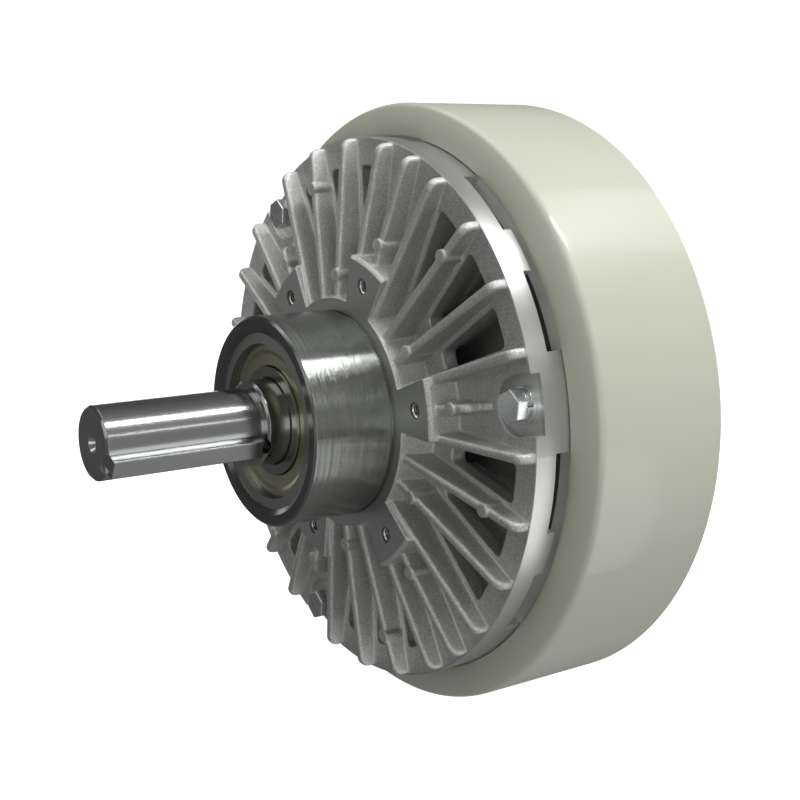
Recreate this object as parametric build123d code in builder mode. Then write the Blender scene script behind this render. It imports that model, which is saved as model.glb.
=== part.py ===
"""Naturally cooled magnetic powder brake, 50 N m class.

The shaft axis is Y and the shaft end points to -Y. Z is up. The origin lies where the axis
crosses the mounting pads. Every *_y value is a station on the axis, negative in front of the
pads and positive behind them. Angles run from +X towards +Z, seen from the shaft end.
"""
import os
from math import cos, radians, sin, tan

from build123d import *

os.makedirs("parts", exist_ok=True)

# Clearances
turned_fit = 0.05
running_gap = 0.5
soft_gap = 0.3
screw_gap = 0.25
end_play = 0.2

# Mounting face and pilot
pad_y = 0.0
pad_count = 6
pad_phase = 9.7
pad_half_angle = 10.6
pad_ring_width = 4.4
pad_set_out = 8.4
pad_edge = 1.2
mount_set_out = 13.0
mount_tap_r = 2.5
mount_tap_mouth_r = 3.2
mount_tap_angle = 120.0
mount_tap_depth = 14.0
pilot_r = 37.0
pilot_stand = 31.0
pilot_edge = 0.8
pilot_undercut = 0.5

# Front bracket casting
rim_r = 98.0
rim_wall = 6.0
rim_front_y = 12.0
rim_back_y = 19.8
web_front_y = 12.5
web_back_y = 18.0
hub_root_width = 2.1
fins_per_sector = 4
fin_half_angle = 9.8
fin_crest_in_y = 1.2
fin_crest_out_y = 6.3
fin_set_in = 0.6
fin_thick = 2.9
fin_draft = 1.2
fin_corner_r = 4.0
fin_edge_r = 1.1
rib_crest_y = 2.7
rib_low_y = 9.8
rib_step_room = 16.0
rib_end_room = 12.2
back_rib_y = 23.5
back_rib_thick = 2.6
back_rib_gap = 0.5
window_room = 4.0
window_set_in = 10.0
window_ledge = 1.7
window_corner_r = 2.4
ejector_r = 2.4
ejector_proud = 0.5
ejector_inner_set_in = 0.5
ejector_outer_set_in = 14.9
ejector_rib_set_out = 7.0
foot_half_angle = 9.4
lug_half_angle = 4.7
lug_back_y = 23.1

# Bracket bolts, M6 with spring and flat washers
bolt_count = 3
bolt_set_in = 9.0
bolt_r = 3.0
bolt_flats = 10.0
bolt_head = 4.0
bolt_length = 25.0
washer_r = 6.1
washer_thick = 1.6
spring_washer_r = 5.3
spring_washer_thick = 1.6
spring_washer_slit = 1.4
spring_washer_turn = 170.0
bolt_turn = 13.5
bolt_edge = 0.35
bolt_crown = 1.08
bolt_crown_angle = 30.0
bolt_end_edge = 0.6
bolt_hole_room = 1.5
pocket_r = 9.8
pocket_y = 15.5
bolt_boss_r = 8.0

# Yoke
yoke_lip = 11.8
yoke_front_y = 25.3
yoke_back_y = 82.5
yoke_front_round = 8.0
yoke_back_round = 3.0
yoke_wall = 15.0
mouth_step = 1.3
mouth_ring_width = 5.9
mouth_recess = 3.0
mouth_gap = 0.2
coil_depth = 16.0
pole_tip_wall = 5.5
coil_front_y = 42.0
front_tip_y = 49.0
rear_tip_y = 57.0
coil_back_y = 63.0
pole_ring_back_y = 78.0

# Coil
bobbin_wall = 1.5
lead_r = 1.0
lead_spread = 3.5
lead_set_out = 1.0
lead_room = 5.0
winding_room = 0.6

# Rotor and powder
powder_gap = 1.5
powder_end_gap = 2.0
rotor_rim_wall = 12.0
rotor_front_gap = 2.4
rotor_width = 42.0
rotor_web = 10.0
rotor_hub_r = 28.0
rotor_hub_length = 40.0
rotor_seat_r = 19.0
rotor_key_width = 10.0
rotor_key_height = 8.0
rotor_key_length = 34.0
rotor_key_depth = 5.0

# Shaft
shaft_r = 12.5
shaft_end_y = -93.0
shaft_edge = 0.8
relief_front_y = -38.9
relief_back_y = -36.0
relief_depth = 0.5
seal_seat_r = 18.0
collar_r = 22.0
collar_length = 11.0
centre_hole_r = 3.1
centre_drill_r = 1.3
centre_depth = 6.5
centre_half_angle = 30.0
key_angle = -25.0
key_width = 7.0
key_height = 7.0
keyway_depth = 4.0
key_front_y = -92.0
key_edge = 0.3
key_back_gap = 0.1
keyway_end_y = -34.3
rear_neck_r = 15.5

# Front bearing, 30 x 62 x 16
front_bearing_bore_r = 15.0
front_bearing_r = 31.0
front_bearing_width = 16.0
front_bearing_setback = 3.6
front_ball_r = 4.7625
front_pitch_r = 23.0

# Rear bearing, 25 x 52 x 15
rear_bearing_bore_r = 12.5
rear_bearing_r = 26.0
rear_bearing_width = 15.0
rear_ball_r = 3.969
rear_pitch_r = 19.25

# Both bearings
ball_count = 9
race_gap = 0.05
race_depth = 1.0
ring_chamfer = 0.6
pocket_gap = 0.15
cage_thick = 1.8
cage_side = 0.75
shield_thick = 0.5
shield_setback = 0.5
shield_dish = 0.6

# Retaining rings
circlip_thick = 2.0
circlip_inner_r = 27.4
circlip_groove_r = 32.3
circlip_gap_angle = 8.0
circlip_ear_r = 3.4
circlip_ear_hole_r = 1.2
circlip_ear_spread = 4.6
circlip_ear_inset = 0.6
circlip_gap_width = 2.4
circlip_play = 0.1
shaft_clip_thick = 1.75
shaft_clip_bite = 1.0
shaft_clip_width = 4.0

# Seals and chamber plate
bearing_shoulder_r = 27.0
felt_length = 6.0
felt_stop_y = 2.0
felt_lip = 4.0
felt_lip_r = 21.0
labyrinth_bore_r = 30.3
labyrinth_front_y = 10.0
labyrinth_back_y = 20.0
labyrinth_groove = 1.2
labyrinth_groove_depth = 2.0
labyrinth_groove_count = 3
sleeve_flange_width = 7.0
sleeve_flange = 4.0
bore_mouth_chamfer = 2.0
bore_mouth_angle = 33.0
plate_lap = 5.5
plate_thick = 3.0
plate_screw_r = 1.5
plate_screw_head_r = 2.8
plate_screw_room = 2.9
plate_screw_length = 9.0
plate_screw_angle = 90.0

# Rear bracket
rear_web = 5.0
rear_hub_r = 34.0
rear_hub_front_y = 74.5
rear_bearing_front_y = 80.0
rear_lip = 1.0
rear_felt_r = 22.0
rear_fin_in_height = 11.0
rear_fin_out_height = 6.0
rear_rim_width = 3.5
rear_rim_height = 2.0
rear_boss = 2.0
rear_bolt_length = 20.0
rear_bolt_set_in = 9.0
preload_thick = 1.0
rear_cover_thick = 4.0
rear_cover_spigot = 2.0
cover_screw_r = 2.0
cover_screw_set_in = 4.0
cover_screw_head_r = 3.6
cover_screw_head = 2.4
cover_screw_length = 10.0
cover_screw_count = 4

# Terminal block
block_width = 21.0
block_length = 28.0
block_height = 12.0
block_wall = 2.0
block_floor = 5.0
block_end = 6.0
block_corner_r = 1.5
terminal_screw_r = 2.0
terminal_head_r = 3.4
terminal_head = 2.2
block_screw_r = 1.5
block_screw_head_r = 2.6
block_screw_head = 1.6
block_screw_length = 9.0

# Values that follow from the sizes above
sector_angle = 360 / pad_count
mount_circle_r = pilot_r + mount_set_out
pad_ring_r = pilot_r + pad_ring_width
pad_reach = mount_circle_r + pad_set_out
hub_root_r = pad_ring_r + hub_root_width
sleeve_flange_r = pilot_r + sleeve_flange_width
window_in_r = mount_circle_r + window_room
ejector_inner_at_r = mount_circle_r - ejector_inner_set_in
fin_end_r = rim_r - fin_set_in
window_out_r = rim_r - window_set_in
back_rib_end_r = rim_r - rim_wall - back_rib_gap
bolt_circle_r = rim_r - bolt_set_in
rib_step_r = bolt_circle_r - rib_step_room
rib_end_r = bolt_circle_r - rib_end_room
ejector_outer_at_r = fin_end_r - ejector_outer_set_in
ejector_rib_at_r = pad_reach + ejector_rib_set_out
fin_pitch = (sector_angle - 2 * fin_half_angle) / (fins_per_sector - 1)
hub_face_y = pad_y - pilot_stand
front_bearing_y = hub_face_y + front_bearing_setback
front_shoulder_y = front_bearing_y + front_bearing_width
mouth_seat_y = yoke_front_y + mouth_step
mouth_floor_y = mouth_seat_y + mouth_recess
mouth_r = rim_r + mouth_gap
mouth_recess_r = mouth_r - mouth_ring_width
yoke_r = mouth_r + yoke_lip
coil_chamber_r = yoke_r - yoke_wall
pole_tip_r = coil_chamber_r - coil_depth
pole_bore_r = pole_tip_r - pole_tip_wall
plate_r = pole_bore_r + plate_lap
plate_screw_circle_r = pole_bore_r + plate_screw_room
rotor_r = pole_bore_r - powder_gap
rotor_front_y = mouth_floor_y + rotor_front_gap
rotor_back_y = rotor_front_y + rotor_width
collar_back_y = labyrinth_back_y + collar_length
rotor_hub_back_y = collar_back_y + rotor_hub_length
rotor_clip_back_y = rotor_hub_back_y + shaft_clip_thick
rotor_seat_back_y = rotor_clip_back_y + 1.0
rear_bearing_back_y = rear_bearing_front_y + rear_bearing_width
rear_clip_back_y = rear_bearing_back_y + shaft_clip_thick
rear_shaft_end_y = rear_clip_back_y + 1.5
cover_seat_y = rear_bearing_back_y + preload_thick + rear_cover_spigot
rear_web_back_y = pole_ring_back_y + rear_web
rear_bolt_seat_y = rear_web_back_y + rear_boss
block_angle = pad_phase - 2 * sector_angle + fin_half_angle + fin_pitch
rear_bolt_circle_r = coil_chamber_r - rear_bolt_set_in
lead_at_r = pole_tip_r + lead_room
block_centre_r = lead_at_r - lead_set_out - (block_length - block_end) / 2
cover_screw_circle_r = rear_hub_r - cover_screw_set_in
centre_cone = (centre_hole_r - centre_drill_r) / tan(radians(centre_half_angle))
keyway_round_y = keyway_end_y - key_width / 2
key_back_y = keyway_round_y - key_back_gap
shaft_axis = Axis((0, 0, 0), (0, -1, 0))


def station(y):
    """Plane square to the axis at station y, seen from the shaft end."""
    return Plane.XZ.offset(-y)


def rear_station(y):
    """Plane square to the axis at station y, whose normal points to the rear."""
    return Plane(origin=(0, y, 0), x_dir=(1, 0, 0), z_dir=(0, 1, 0))


def turned(label, outline):
    """Solid of revolution about the axis from a closed (radius, y) outline."""
    with BuildPart() as blank:
        with BuildSketch(Plane.XY):
            with BuildLine():
                Polyline(*outline, close=True)
            make_face()
        revolve(axis=Axis.Y)
    blank.part.label = label
    return blank.part


def ring_outline(inner_r, outer_r, front_y, back_y):
    """Rectangular (radius, y) section of a plain ring."""
    return [(inner_r, front_y), (outer_r, front_y), (outer_r, back_y), (inner_r, back_y)]


def ring_sector(inner_r, outer_r, half_angle):
    """Flat sector of a ring, centred on local +X."""
    with BuildSketch() as sector:
        with BuildLine():
            outer = CenterArc((0, 0), outer_r, -half_angle, 2 * half_angle)
            inner = CenterArc((0, 0), inner_r, -half_angle, 2 * half_angle)
            Line(inner @ 0, outer @ 0)
            Line(inner @ 1, outer @ 1)
        make_face()
    return sector.sketch


def save(part, name):
    """Label a finished piece and write its file."""
    part.label = name
    export_step(part, f"parts/{name}.step")


def crest_y(radius):
    """Station of the front bracket's fin crests at a radius."""
    share = (radius - pad_ring_r) / (fin_end_r - pad_ring_r)
    return fin_crest_in_y + share * (fin_crest_out_y - fin_crest_in_y)


def cast_fin(inner_r, outer_r, front_in_y, front_out_y):
    """Drafted fin along +X with a rounded crest, rooted in the front bracket's web."""
    root_y = (web_front_y + web_back_y) / 2
    root_thick = fin_thick + 2 * (root_y - front_in_y) * tan(radians(fin_draft))
    with BuildPart() as fin:
        with BuildSketch(station(root_y)):
            with Locations(((inner_r + outer_r) / 2, 0)):
                Rectangle(outer_r - inner_r + 2 * fin_corner_r, root_thick)
        extrude(amount=root_y - front_in_y + 1, taper=fin_draft)
        with BuildSketch(Plane.XY):
            with BuildLine():
                Polyline(
                    (inner_r, root_y),
                    (inner_r, front_in_y),
                    (outer_r, front_out_y),
                    (outer_r, root_y),
                    close=True,
                )
            make_face()
            crest_corner = vertices().sort_by(Axis.Y)[0:2].sort_by(Axis.X)[-1]
            fillet(crest_corner, fin_corner_r)
        extrude(amount=root_thick, both=True, mode=Mode.INTERSECT)
        crest_edges = fin.edges().filter_by(
            lambda edge: abs(edge.center().Z) > fin_thick / 4 and edge.center().Y < root_y - 0.5
        )
        fillet(crest_edges.filter_by(lambda edge: edge.center().X > inner_r + 0.5), fin_edge_r)
    return fin.part


def sector_angles(offsets):
    """Every angle that lies at one of the offsets from a pad's middle."""
    return [pad_phase + sector_angle * sector + offset for sector in range(pad_count) for offset in offsets]


fin_offsets = [fin_half_angle + fin_pitch * index for index in range(fins_per_sector)]
window_offsets = [fin_half_angle + fin_pitch * (index + 0.5) for index in range(fins_per_sector - 1)]
bolt_pad_angles = [pad_phase + 360 / bolt_count * index for index in range(bolt_count)]
plain_pad_angles = [angle + sector_angle for angle in bolt_pad_angles]

# Front bracket: turned body, pads, fins, windows, castellated rim and bolt pockets
main_fin = cast_fin(pad_ring_r - 1, fin_end_r, fin_crest_in_y, fin_crest_out_y)
pad_fin = cast_fin(pad_reach - 1, fin_end_r, rib_crest_y, fin_crest_out_y)
pad_rib_high = cast_fin(pad_reach - 1, rib_step_r, rib_crest_y, rib_crest_y + 1.2)
pad_rib_low = cast_fin(pad_reach - 1, rib_end_r, rib_low_y, rib_low_y)

# Pads round the pilot, with a turned face and a bevelled outer end
with BuildPart() as pad_blank:
    with BuildSketch(Plane.XY):
        with BuildLine():
            Polyline(
                (pad_ring_r - 2, pad_y),
                (pad_reach - pad_edge, pad_y),
                (pad_reach, pad_y + pad_edge),
                (pad_reach, web_back_y - 1),
                (pad_ring_r - 2, web_back_y - 1),
                close=True,
            )
        make_face()
    revolve(axis=Axis.Y)
    half_in = pad_ring_r * sin(radians(pad_half_angle)) - 1
    half_out = (pad_reach + 1) * tan(radians(pad_half_angle))
    with BuildSketch(station(web_back_y)):
        with PolarLocations(0, pad_count, pad_phase):
            Polygon(
                (pad_ring_r - 3, -half_in),
                (pad_reach + 1, -half_out),
                (pad_reach + 1, half_out),
                (pad_ring_r - 3, half_in),
                align=None,
            )
    extrude(amount=web_back_y - pad_y + 1, mode=Mode.INTERSECT)
pads = pad_blank.part.solids()

with BuildPart() as front_bracket:
    with BuildSketch(Plane.XY):
        with BuildLine():
            Polyline(
                (pilot_r + turned_fit, pad_y),
                (pad_ring_r, pad_y),
                (hub_root_r, web_front_y),
                (rim_r, rim_front_y),
                (rim_r, rim_back_y),
                (rim_r - rim_wall, rim_back_y),
                (rim_r - rim_wall, web_back_y),
                (pilot_r + turned_fit, web_back_y),
                close=True,
            )
        make_face()
    revolve(axis=Axis.Y)

    # Windows between neighbouring fins, with a ledge left beside each fin
    half_pitch = radians(fin_pitch / 2)
    window_edge = (fin_thick / 2 + window_ledge) / cos(half_pitch)
    half_in = window_in_r * tan(half_pitch) - window_edge
    half_out = window_out_r * tan(half_pitch) - window_edge
    with BuildSketch(station(web_back_y)):
        for angle in sector_angles(window_offsets):
            with Locations(Location((0, 0, 0), (0, 0, angle))):
                Polygon(
                    (window_in_r, -half_in),
                    (window_out_r, -half_out),
                    (window_out_r, half_out),
                    (window_in_r, half_in),
                    align=None,
                )
        fillet(vertices(), min(window_corner_r, half_in - 0.2))
    extrude(amount=web_back_y - pad_y, mode=Mode.SUBTRACT)

    add(pads)

    # Fins, ribs behind the pads and ejector bosses
    fins = [main_fin.rotate(shaft_axis, angle) for angle in sector_angles(fin_offsets)]
    fins += [pad_fin.rotate(shaft_axis, angle) for angle in plain_pad_angles]
    fins += [pad_rib_high.rotate(shaft_axis, angle) for angle in bolt_pad_angles]
    fins += [pad_rib_low.rotate(shaft_axis, angle) for angle in bolt_pad_angles]
    add(fins)
    for offset, radius in (
        (fin_offsets[1], ejector_inner_at_r),
        (fin_offsets[2], ejector_outer_at_r),
        (0, ejector_rib_at_r),
    ):
        boss_front_y = crest_y(radius) - ejector_proud
        with BuildSketch(station(web_back_y - 1)):
            with PolarLocations(radius, pad_count, pad_phase + offset):
                Circle(ejector_r)
        extrude(amount=web_back_y - 1 - boss_front_y)

    # Ribs on the hidden face of the web
    with BuildSketch(station(back_rib_y)):
        for angle in sector_angles(fin_offsets):
            with Locations(Location((0, 0, 0), (0, 0, angle))):
                with Locations(((window_in_r + back_rib_end_r) / 2, 0)):
                    Rectangle(back_rib_end_r - window_in_r, back_rib_thick)
    extrude(amount=back_rib_y - web_back_y + 1)

    # Feet that stand on the yoke, and shorter lugs between them
    with BuildSketch(station(mouth_seat_y)):
        with PolarLocations(0, pad_count, pad_phase):
            add(ring_sector(rim_r - rim_wall + 1, rim_r, foot_half_angle))
    extrude(amount=mouth_seat_y - rim_back_y)
    with BuildSketch(station(lug_back_y)):
        with PolarLocations(0, pad_count, pad_phase + sector_angle / 2):
            add(ring_sector(rim_r - rim_wall, rim_r, lug_half_angle))
    extrude(amount=lug_back_y - rim_back_y)

    # Bosses that carry the bolts down to the yoke
    with BuildSketch(station(mouth_floor_y)):
        with PolarLocations(bolt_circle_r, bolt_count, pad_phase):
            Circle(bolt_boss_r)
        Circle(mouth_recess_r - screw_gap, mode=Mode.INTERSECT)
    extrude(amount=mouth_floor_y - web_back_y + 1)
    with BuildSketch(station(mouth_seat_y)):
        with PolarLocations(bolt_circle_r, bolt_count, pad_phase):
            Circle(bolt_boss_r)
    extrude(amount=mouth_seat_y - web_back_y + 1)

    # Spot-faced pockets, open through the rim, and the bolt holes
    with BuildSketch(station(pocket_y)):
        with PolarLocations(bolt_circle_r, bolt_count, pad_phase):
            Circle(pocket_r)
            with Locations((pocket_r, 0)):
                Rectangle(2 * pocket_r, 2 * pocket_r)
    extrude(amount=pocket_y - rim_front_y + 1, mode=Mode.SUBTRACT)
    with BuildSketch(station(mouth_floor_y)):
        with PolarLocations(bolt_circle_r, bolt_count, pad_phase):
            Circle(bolt_r + screw_gap)
    extrude(amount=mouth_floor_y - pocket_y, mode=Mode.SUBTRACT)

    # Tapped mounting holes with a chamfered mouth
    with Locations(station(pad_y)):
        with PolarLocations(mount_circle_r, pad_count, pad_phase):
            CounterSinkHole(mount_tap_r, mount_tap_mouth_r, mount_tap_depth, mount_tap_angle)
save(front_bracket.part, "front_bracket")

# Bearing sleeve: the turned pilot hub, pressed in from behind up to its flange
bearing_sleeve = turned(
    "bearing_sleeve",
    [
        (front_bearing_r + bore_mouth_chamfer, hub_face_y),
        (pilot_r - pilot_edge, hub_face_y),
        (pilot_r, hub_face_y + pilot_edge),
        (pilot_r, pad_y - 2 * pilot_undercut),
        (pilot_r - pilot_undercut, pad_y - 2 * pilot_undercut),
        (pilot_r - pilot_undercut, pad_y),
        (pilot_r, pad_y),
        (pilot_r, web_back_y),
        (sleeve_flange_r, web_back_y),
        (sleeve_flange_r, web_back_y + sleeve_flange),
        (labyrinth_bore_r, web_back_y + sleeve_flange),
        (labyrinth_bore_r, felt_stop_y + felt_lip),
        (felt_lip_r, felt_stop_y + felt_lip),
        (felt_lip_r, felt_stop_y),
        (bearing_shoulder_r, felt_stop_y),
        (bearing_shoulder_r, front_shoulder_y),
        (front_bearing_r + turned_fit, front_shoulder_y),
        (front_bearing_r + turned_fit, front_bearing_y),
        (circlip_groove_r, front_bearing_y),
        (circlip_groove_r, front_bearing_y - circlip_thick - circlip_play),
        (front_bearing_r + turned_fit, front_bearing_y - circlip_thick - circlip_play),
        (front_bearing_r + turned_fit, hub_face_y + bore_mouth_chamfer * tan(radians(bore_mouth_angle))),
    ],
)
save(bearing_sleeve, "bearing_sleeve")

# Internal circlip with two eared ends
with BuildPart() as front_circlip:
    with BuildSketch(station(front_bearing_y)):
        Circle(circlip_groove_r - circlip_play)
        Circle(circlip_inner_r, mode=Mode.SUBTRACT)
        with Locations(Location((0, 0, 0), (0, 0, circlip_gap_angle + 180))):
            for side in (-1, 1):
                with Locations((circlip_inner_r + circlip_ear_inset, side * circlip_ear_spread)):
                    Circle(circlip_ear_r)
                    Circle(circlip_ear_hole_r, mode=Mode.SUBTRACT)
            with Locations((circlip_groove_r, 0)):
                Rectangle(4 * circlip_ear_r, circlip_gap_width, mode=Mode.SUBTRACT)
        Circle(circlip_groove_r - circlip_play, mode=Mode.INTERSECT)
    extrude(amount=circlip_thick)
save(front_circlip.part, "front_circlip")

# Shaft with its turned seats, keyways, ring grooves and centre hole
key_direction = Vector(cos(radians(key_angle)), 0, sin(radians(key_angle)))
keyway_plane = Plane(
    origin=key_direction * (shaft_r - keyway_depth), x_dir=(0, 1, 0), z_dir=key_direction
)
rotor_keyway_plane = Plane(
    origin=key_direction * (rotor_seat_r - rotor_key_depth), x_dir=(0, 1, 0), z_dir=key_direction
)
rotor_key_front_y = collar_back_y + (rotor_hub_length - rotor_key_length) / 2
with BuildPart() as shaft:
    with BuildSketch(Plane.XY):
        with BuildLine():
            Polyline(
                (0, shaft_end_y),
                (shaft_r - shaft_edge, shaft_end_y),
                (shaft_r, shaft_end_y + shaft_edge),
                (shaft_r, relief_front_y),
                (shaft_r - relief_depth, relief_front_y + relief_depth),
                (shaft_r - relief_depth, relief_back_y),
                (front_bearing_bore_r - shaft_edge, relief_back_y),
                (front_bearing_bore_r, relief_back_y + shaft_edge),
                (front_bearing_bore_r, front_shoulder_y),
                (seal_seat_r, front_shoulder_y),
                (seal_seat_r, labyrinth_back_y),
                (collar_r, labyrinth_back_y),
                (collar_r, collar_back_y),
                (rotor_seat_r, collar_back_y),
                (rotor_seat_r, rotor_hub_back_y),
                (rotor_seat_r - shaft_clip_bite, rotor_hub_back_y),
                (rotor_seat_r - shaft_clip_bite, rotor_clip_back_y),
                (rotor_seat_r, rotor_clip_back_y),
                (rotor_seat_r, rotor_seat_back_y),
                (rear_neck_r, rotor_seat_back_y),
                (rear_neck_r, rear_bearing_front_y),
                (rear_bearing_bore_r, rear_bearing_front_y),
                (rear_bearing_bore_r, rear_bearing_back_y),
                (rear_bearing_bore_r - shaft_clip_bite, rear_bearing_back_y),
                (rear_bearing_bore_r - shaft_clip_bite, rear_clip_back_y),
                (rear_bearing_bore_r, rear_clip_back_y),
                (rear_bearing_bore_r, rear_shaft_end_y - shaft_edge),
                (rear_bearing_bore_r - shaft_edge, rear_shaft_end_y),
                (0, rear_shaft_end_y),
                close=True,
            )
        make_face()
    revolve(axis=Axis.Y)
    with BuildSketch(Plane.XY):
        with BuildLine():
            Polyline(
                (0, shaft_end_y),
                (centre_hole_r, shaft_end_y),
                (centre_drill_r, shaft_end_y + centre_cone),
                (centre_drill_r, shaft_end_y + centre_depth),
                (0, shaft_end_y + centre_depth + centre_drill_r / 2),
                close=True,
            )
        make_face()
    revolve(axis=Axis.Y, mode=Mode.SUBTRACT)
    with BuildSketch(keyway_plane):
        with Locations(((shaft_end_y - 1 + keyway_round_y) / 2, 0)):
            Rectangle(keyway_round_y - shaft_end_y + 1, key_width)
        with Locations((keyway_round_y, 0)):
            Circle(key_width / 2)
    extrude(amount=front_bearing_bore_r, mode=Mode.SUBTRACT)
    with BuildSketch(rotor_keyway_plane):
        with Locations((rotor_key_front_y + rotor_key_length / 2, 0)):
            Rectangle(rotor_key_length, rotor_key_width)
    extrude(amount=rotor_key_height, mode=Mode.SUBTRACT)
save(shaft.part, "shaft")

with BuildPart() as shaft_key:
    with BuildSketch(keyway_plane):
        with Locations(((key_front_y + key_back_y) / 2, 0)):
            Rectangle(key_back_y - key_front_y, key_width)
    extrude(amount=key_height)
    chamfer(shaft_key.faces().sort_by(Axis(origin=(0, 0, 0), direction=key_direction))[-1].edges(), key_edge)
save(shaft_key.part, "shaft_key")

with BuildPart() as rotor_key:
    with BuildSketch(rotor_keyway_plane):
        with Locations((rotor_key_front_y + rotor_key_length / 2, 0)):
            Rectangle(rotor_key_length, rotor_key_width)
    extrude(amount=rotor_key_height)
save(rotor_key.part, "rotor_key")


def shaft_clip(name, seat_r, front_y):
    """External circlip in a groove of the shaft."""
    with BuildPart() as clip:
        with BuildSketch(station(front_y + shaft_clip_thick)):
            Circle(seat_r - shaft_clip_bite + shaft_clip_width)
            Circle(seat_r - shaft_clip_bite + turned_fit, mode=Mode.SUBTRACT)
            with Locations((0, -seat_r - shaft_clip_width / 2)):
                Rectangle(shaft_clip_width, 2 * shaft_clip_width, mode=Mode.SUBTRACT)
        extrude(amount=shaft_clip_thick)
    save(clip.part, name)


shaft_clip("rotor_circlip", rotor_seat_r, rotor_hub_back_y)
shaft_clip("rear_shaft_circlip", rear_bearing_bore_r, rear_bearing_back_y)


def ball_bearing(prefix, front_y, bore_r, outer_r, width, ball_r, pitch_r):
    """Shielded deep groove bearing as rings, shields, balls and a pocketed cage."""
    middle_y = front_y + width / 2
    race_r = ball_r + race_gap
    inner_land_r = pitch_r - race_r + race_depth
    outer_land_r = pitch_r + race_r - race_depth
    for name, low_r, high_r in (
        ("inner", bore_r + turned_fit, inner_land_r),
        ("outer", outer_land_r, outer_r),
    ):
        with BuildPart() as race:
            with BuildSketch(Plane.XY):
                with Locations(((low_r + high_r) / 2, middle_y)):
                    Rectangle(high_r - low_r, width)
                with Locations((pitch_r, middle_y)):
                    Circle(race_r, mode=Mode.SUBTRACT)
            revolve(axis=Axis.Y)
            rim_edges = race.edges().filter_by(GeomType.CIRCLE)
            outside = rim_edges.sort_by(SortBy.RADIUS)
            chamfer(outside[-2:] if name == "outer" else outside[:2], ring_chamfer)
        save(race.part, f"{prefix}_{name}_ring")
    with BuildPart() as balls:
        with Locations(station(middle_y)):
            with PolarLocations(pitch_r, ball_count):
                Sphere(ball_r)
    save(balls.part, f"{prefix}_balls")
    with BuildPart() as cage:
        with BuildSketch(station(middle_y + ball_r + cage_side)):
            Circle(pitch_r + cage_thick / 2)
            Circle(pitch_r - cage_thick / 2, mode=Mode.SUBTRACT)
        extrude(amount=2 * (ball_r + cage_side))
        with Locations(station(middle_y)):
            with PolarLocations(pitch_r, ball_count):
                Cylinder(ball_r + pocket_gap, 4 * cage_thick, rotation=(0, 90, 0), mode=Mode.SUBTRACT)
    save(cage.part, f"{prefix}_cage")
    with BuildPart() as shields:
        for face_y, inward in ((front_y, 1), (front_y + width, -1)):
            outside_y = face_y + inward * shield_setback
            dished_y = outside_y + inward * shield_dish
            with BuildSketch(Plane.XY):
                with BuildLine():
                    Polyline(
                        (outer_land_r - turned_fit, outside_y),
                        (pitch_r + 2 * race_depth, outside_y),
                        (pitch_r + race_depth / 2, dished_y),
                        (inner_land_r + soft_gap, dished_y),
                        (inner_land_r + soft_gap, dished_y + inward * shield_thick),
                        (pitch_r, dished_y + inward * shield_thick),
                        (pitch_r + 1.5 * race_depth, outside_y + inward * shield_thick),
                        (outer_land_r - turned_fit, outside_y + inward * shield_thick),
                        close=True,
                    )
                make_face()
            revolve(axis=Axis.Y)
    save(shields.part, f"{prefix}_shields")


ball_bearing(
    "front_bearing", front_bearing_y, front_bearing_bore_r, front_bearing_r,
    front_bearing_width, front_ball_r, front_pitch_r,
)
ball_bearing(
    "rear_bearing", rear_bearing_front_y, rear_bearing_bore_r, rear_bearing_r,
    rear_bearing_width, rear_ball_r, rear_pitch_r,
)

# Seals between the powder chamber and the bearings
front_felt = ring_outline(
    seal_seat_r + soft_gap, bearing_shoulder_r - turned_fit, felt_stop_y - felt_length, felt_stop_y
)
save(turned("front_felt_seal", front_felt), "front_felt_seal")
rear_felt = ring_outline(
    rear_neck_r + soft_gap, rear_felt_r - turned_fit,
    rear_hub_front_y + rear_lip, rear_bearing_front_y - rear_lip,
)
save(turned("rear_felt_seal", rear_felt), "rear_felt_seal")
with BuildPart() as front_labyrinth_ring:
    labyrinth_r = labyrinth_bore_r - running_gap
    with BuildSketch(station(labyrinth_back_y)):
        Circle(labyrinth_r)
        Circle(seal_seat_r + turned_fit, mode=Mode.SUBTRACT)
    extrude(amount=labyrinth_back_y - labyrinth_front_y)
    with BuildSketch(Plane.XY):
        with Locations((labyrinth_r, (labyrinth_front_y + labyrinth_back_y) / 2)):
            with GridLocations(0, 2 * labyrinth_groove, 1, labyrinth_groove_count):
                Rectangle(2 * labyrinth_groove_depth, labyrinth_groove)
    revolve(axis=Axis.Y, mode=Mode.SUBTRACT)
save(front_labyrinth_ring.part, "front_labyrinth_ring")

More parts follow.
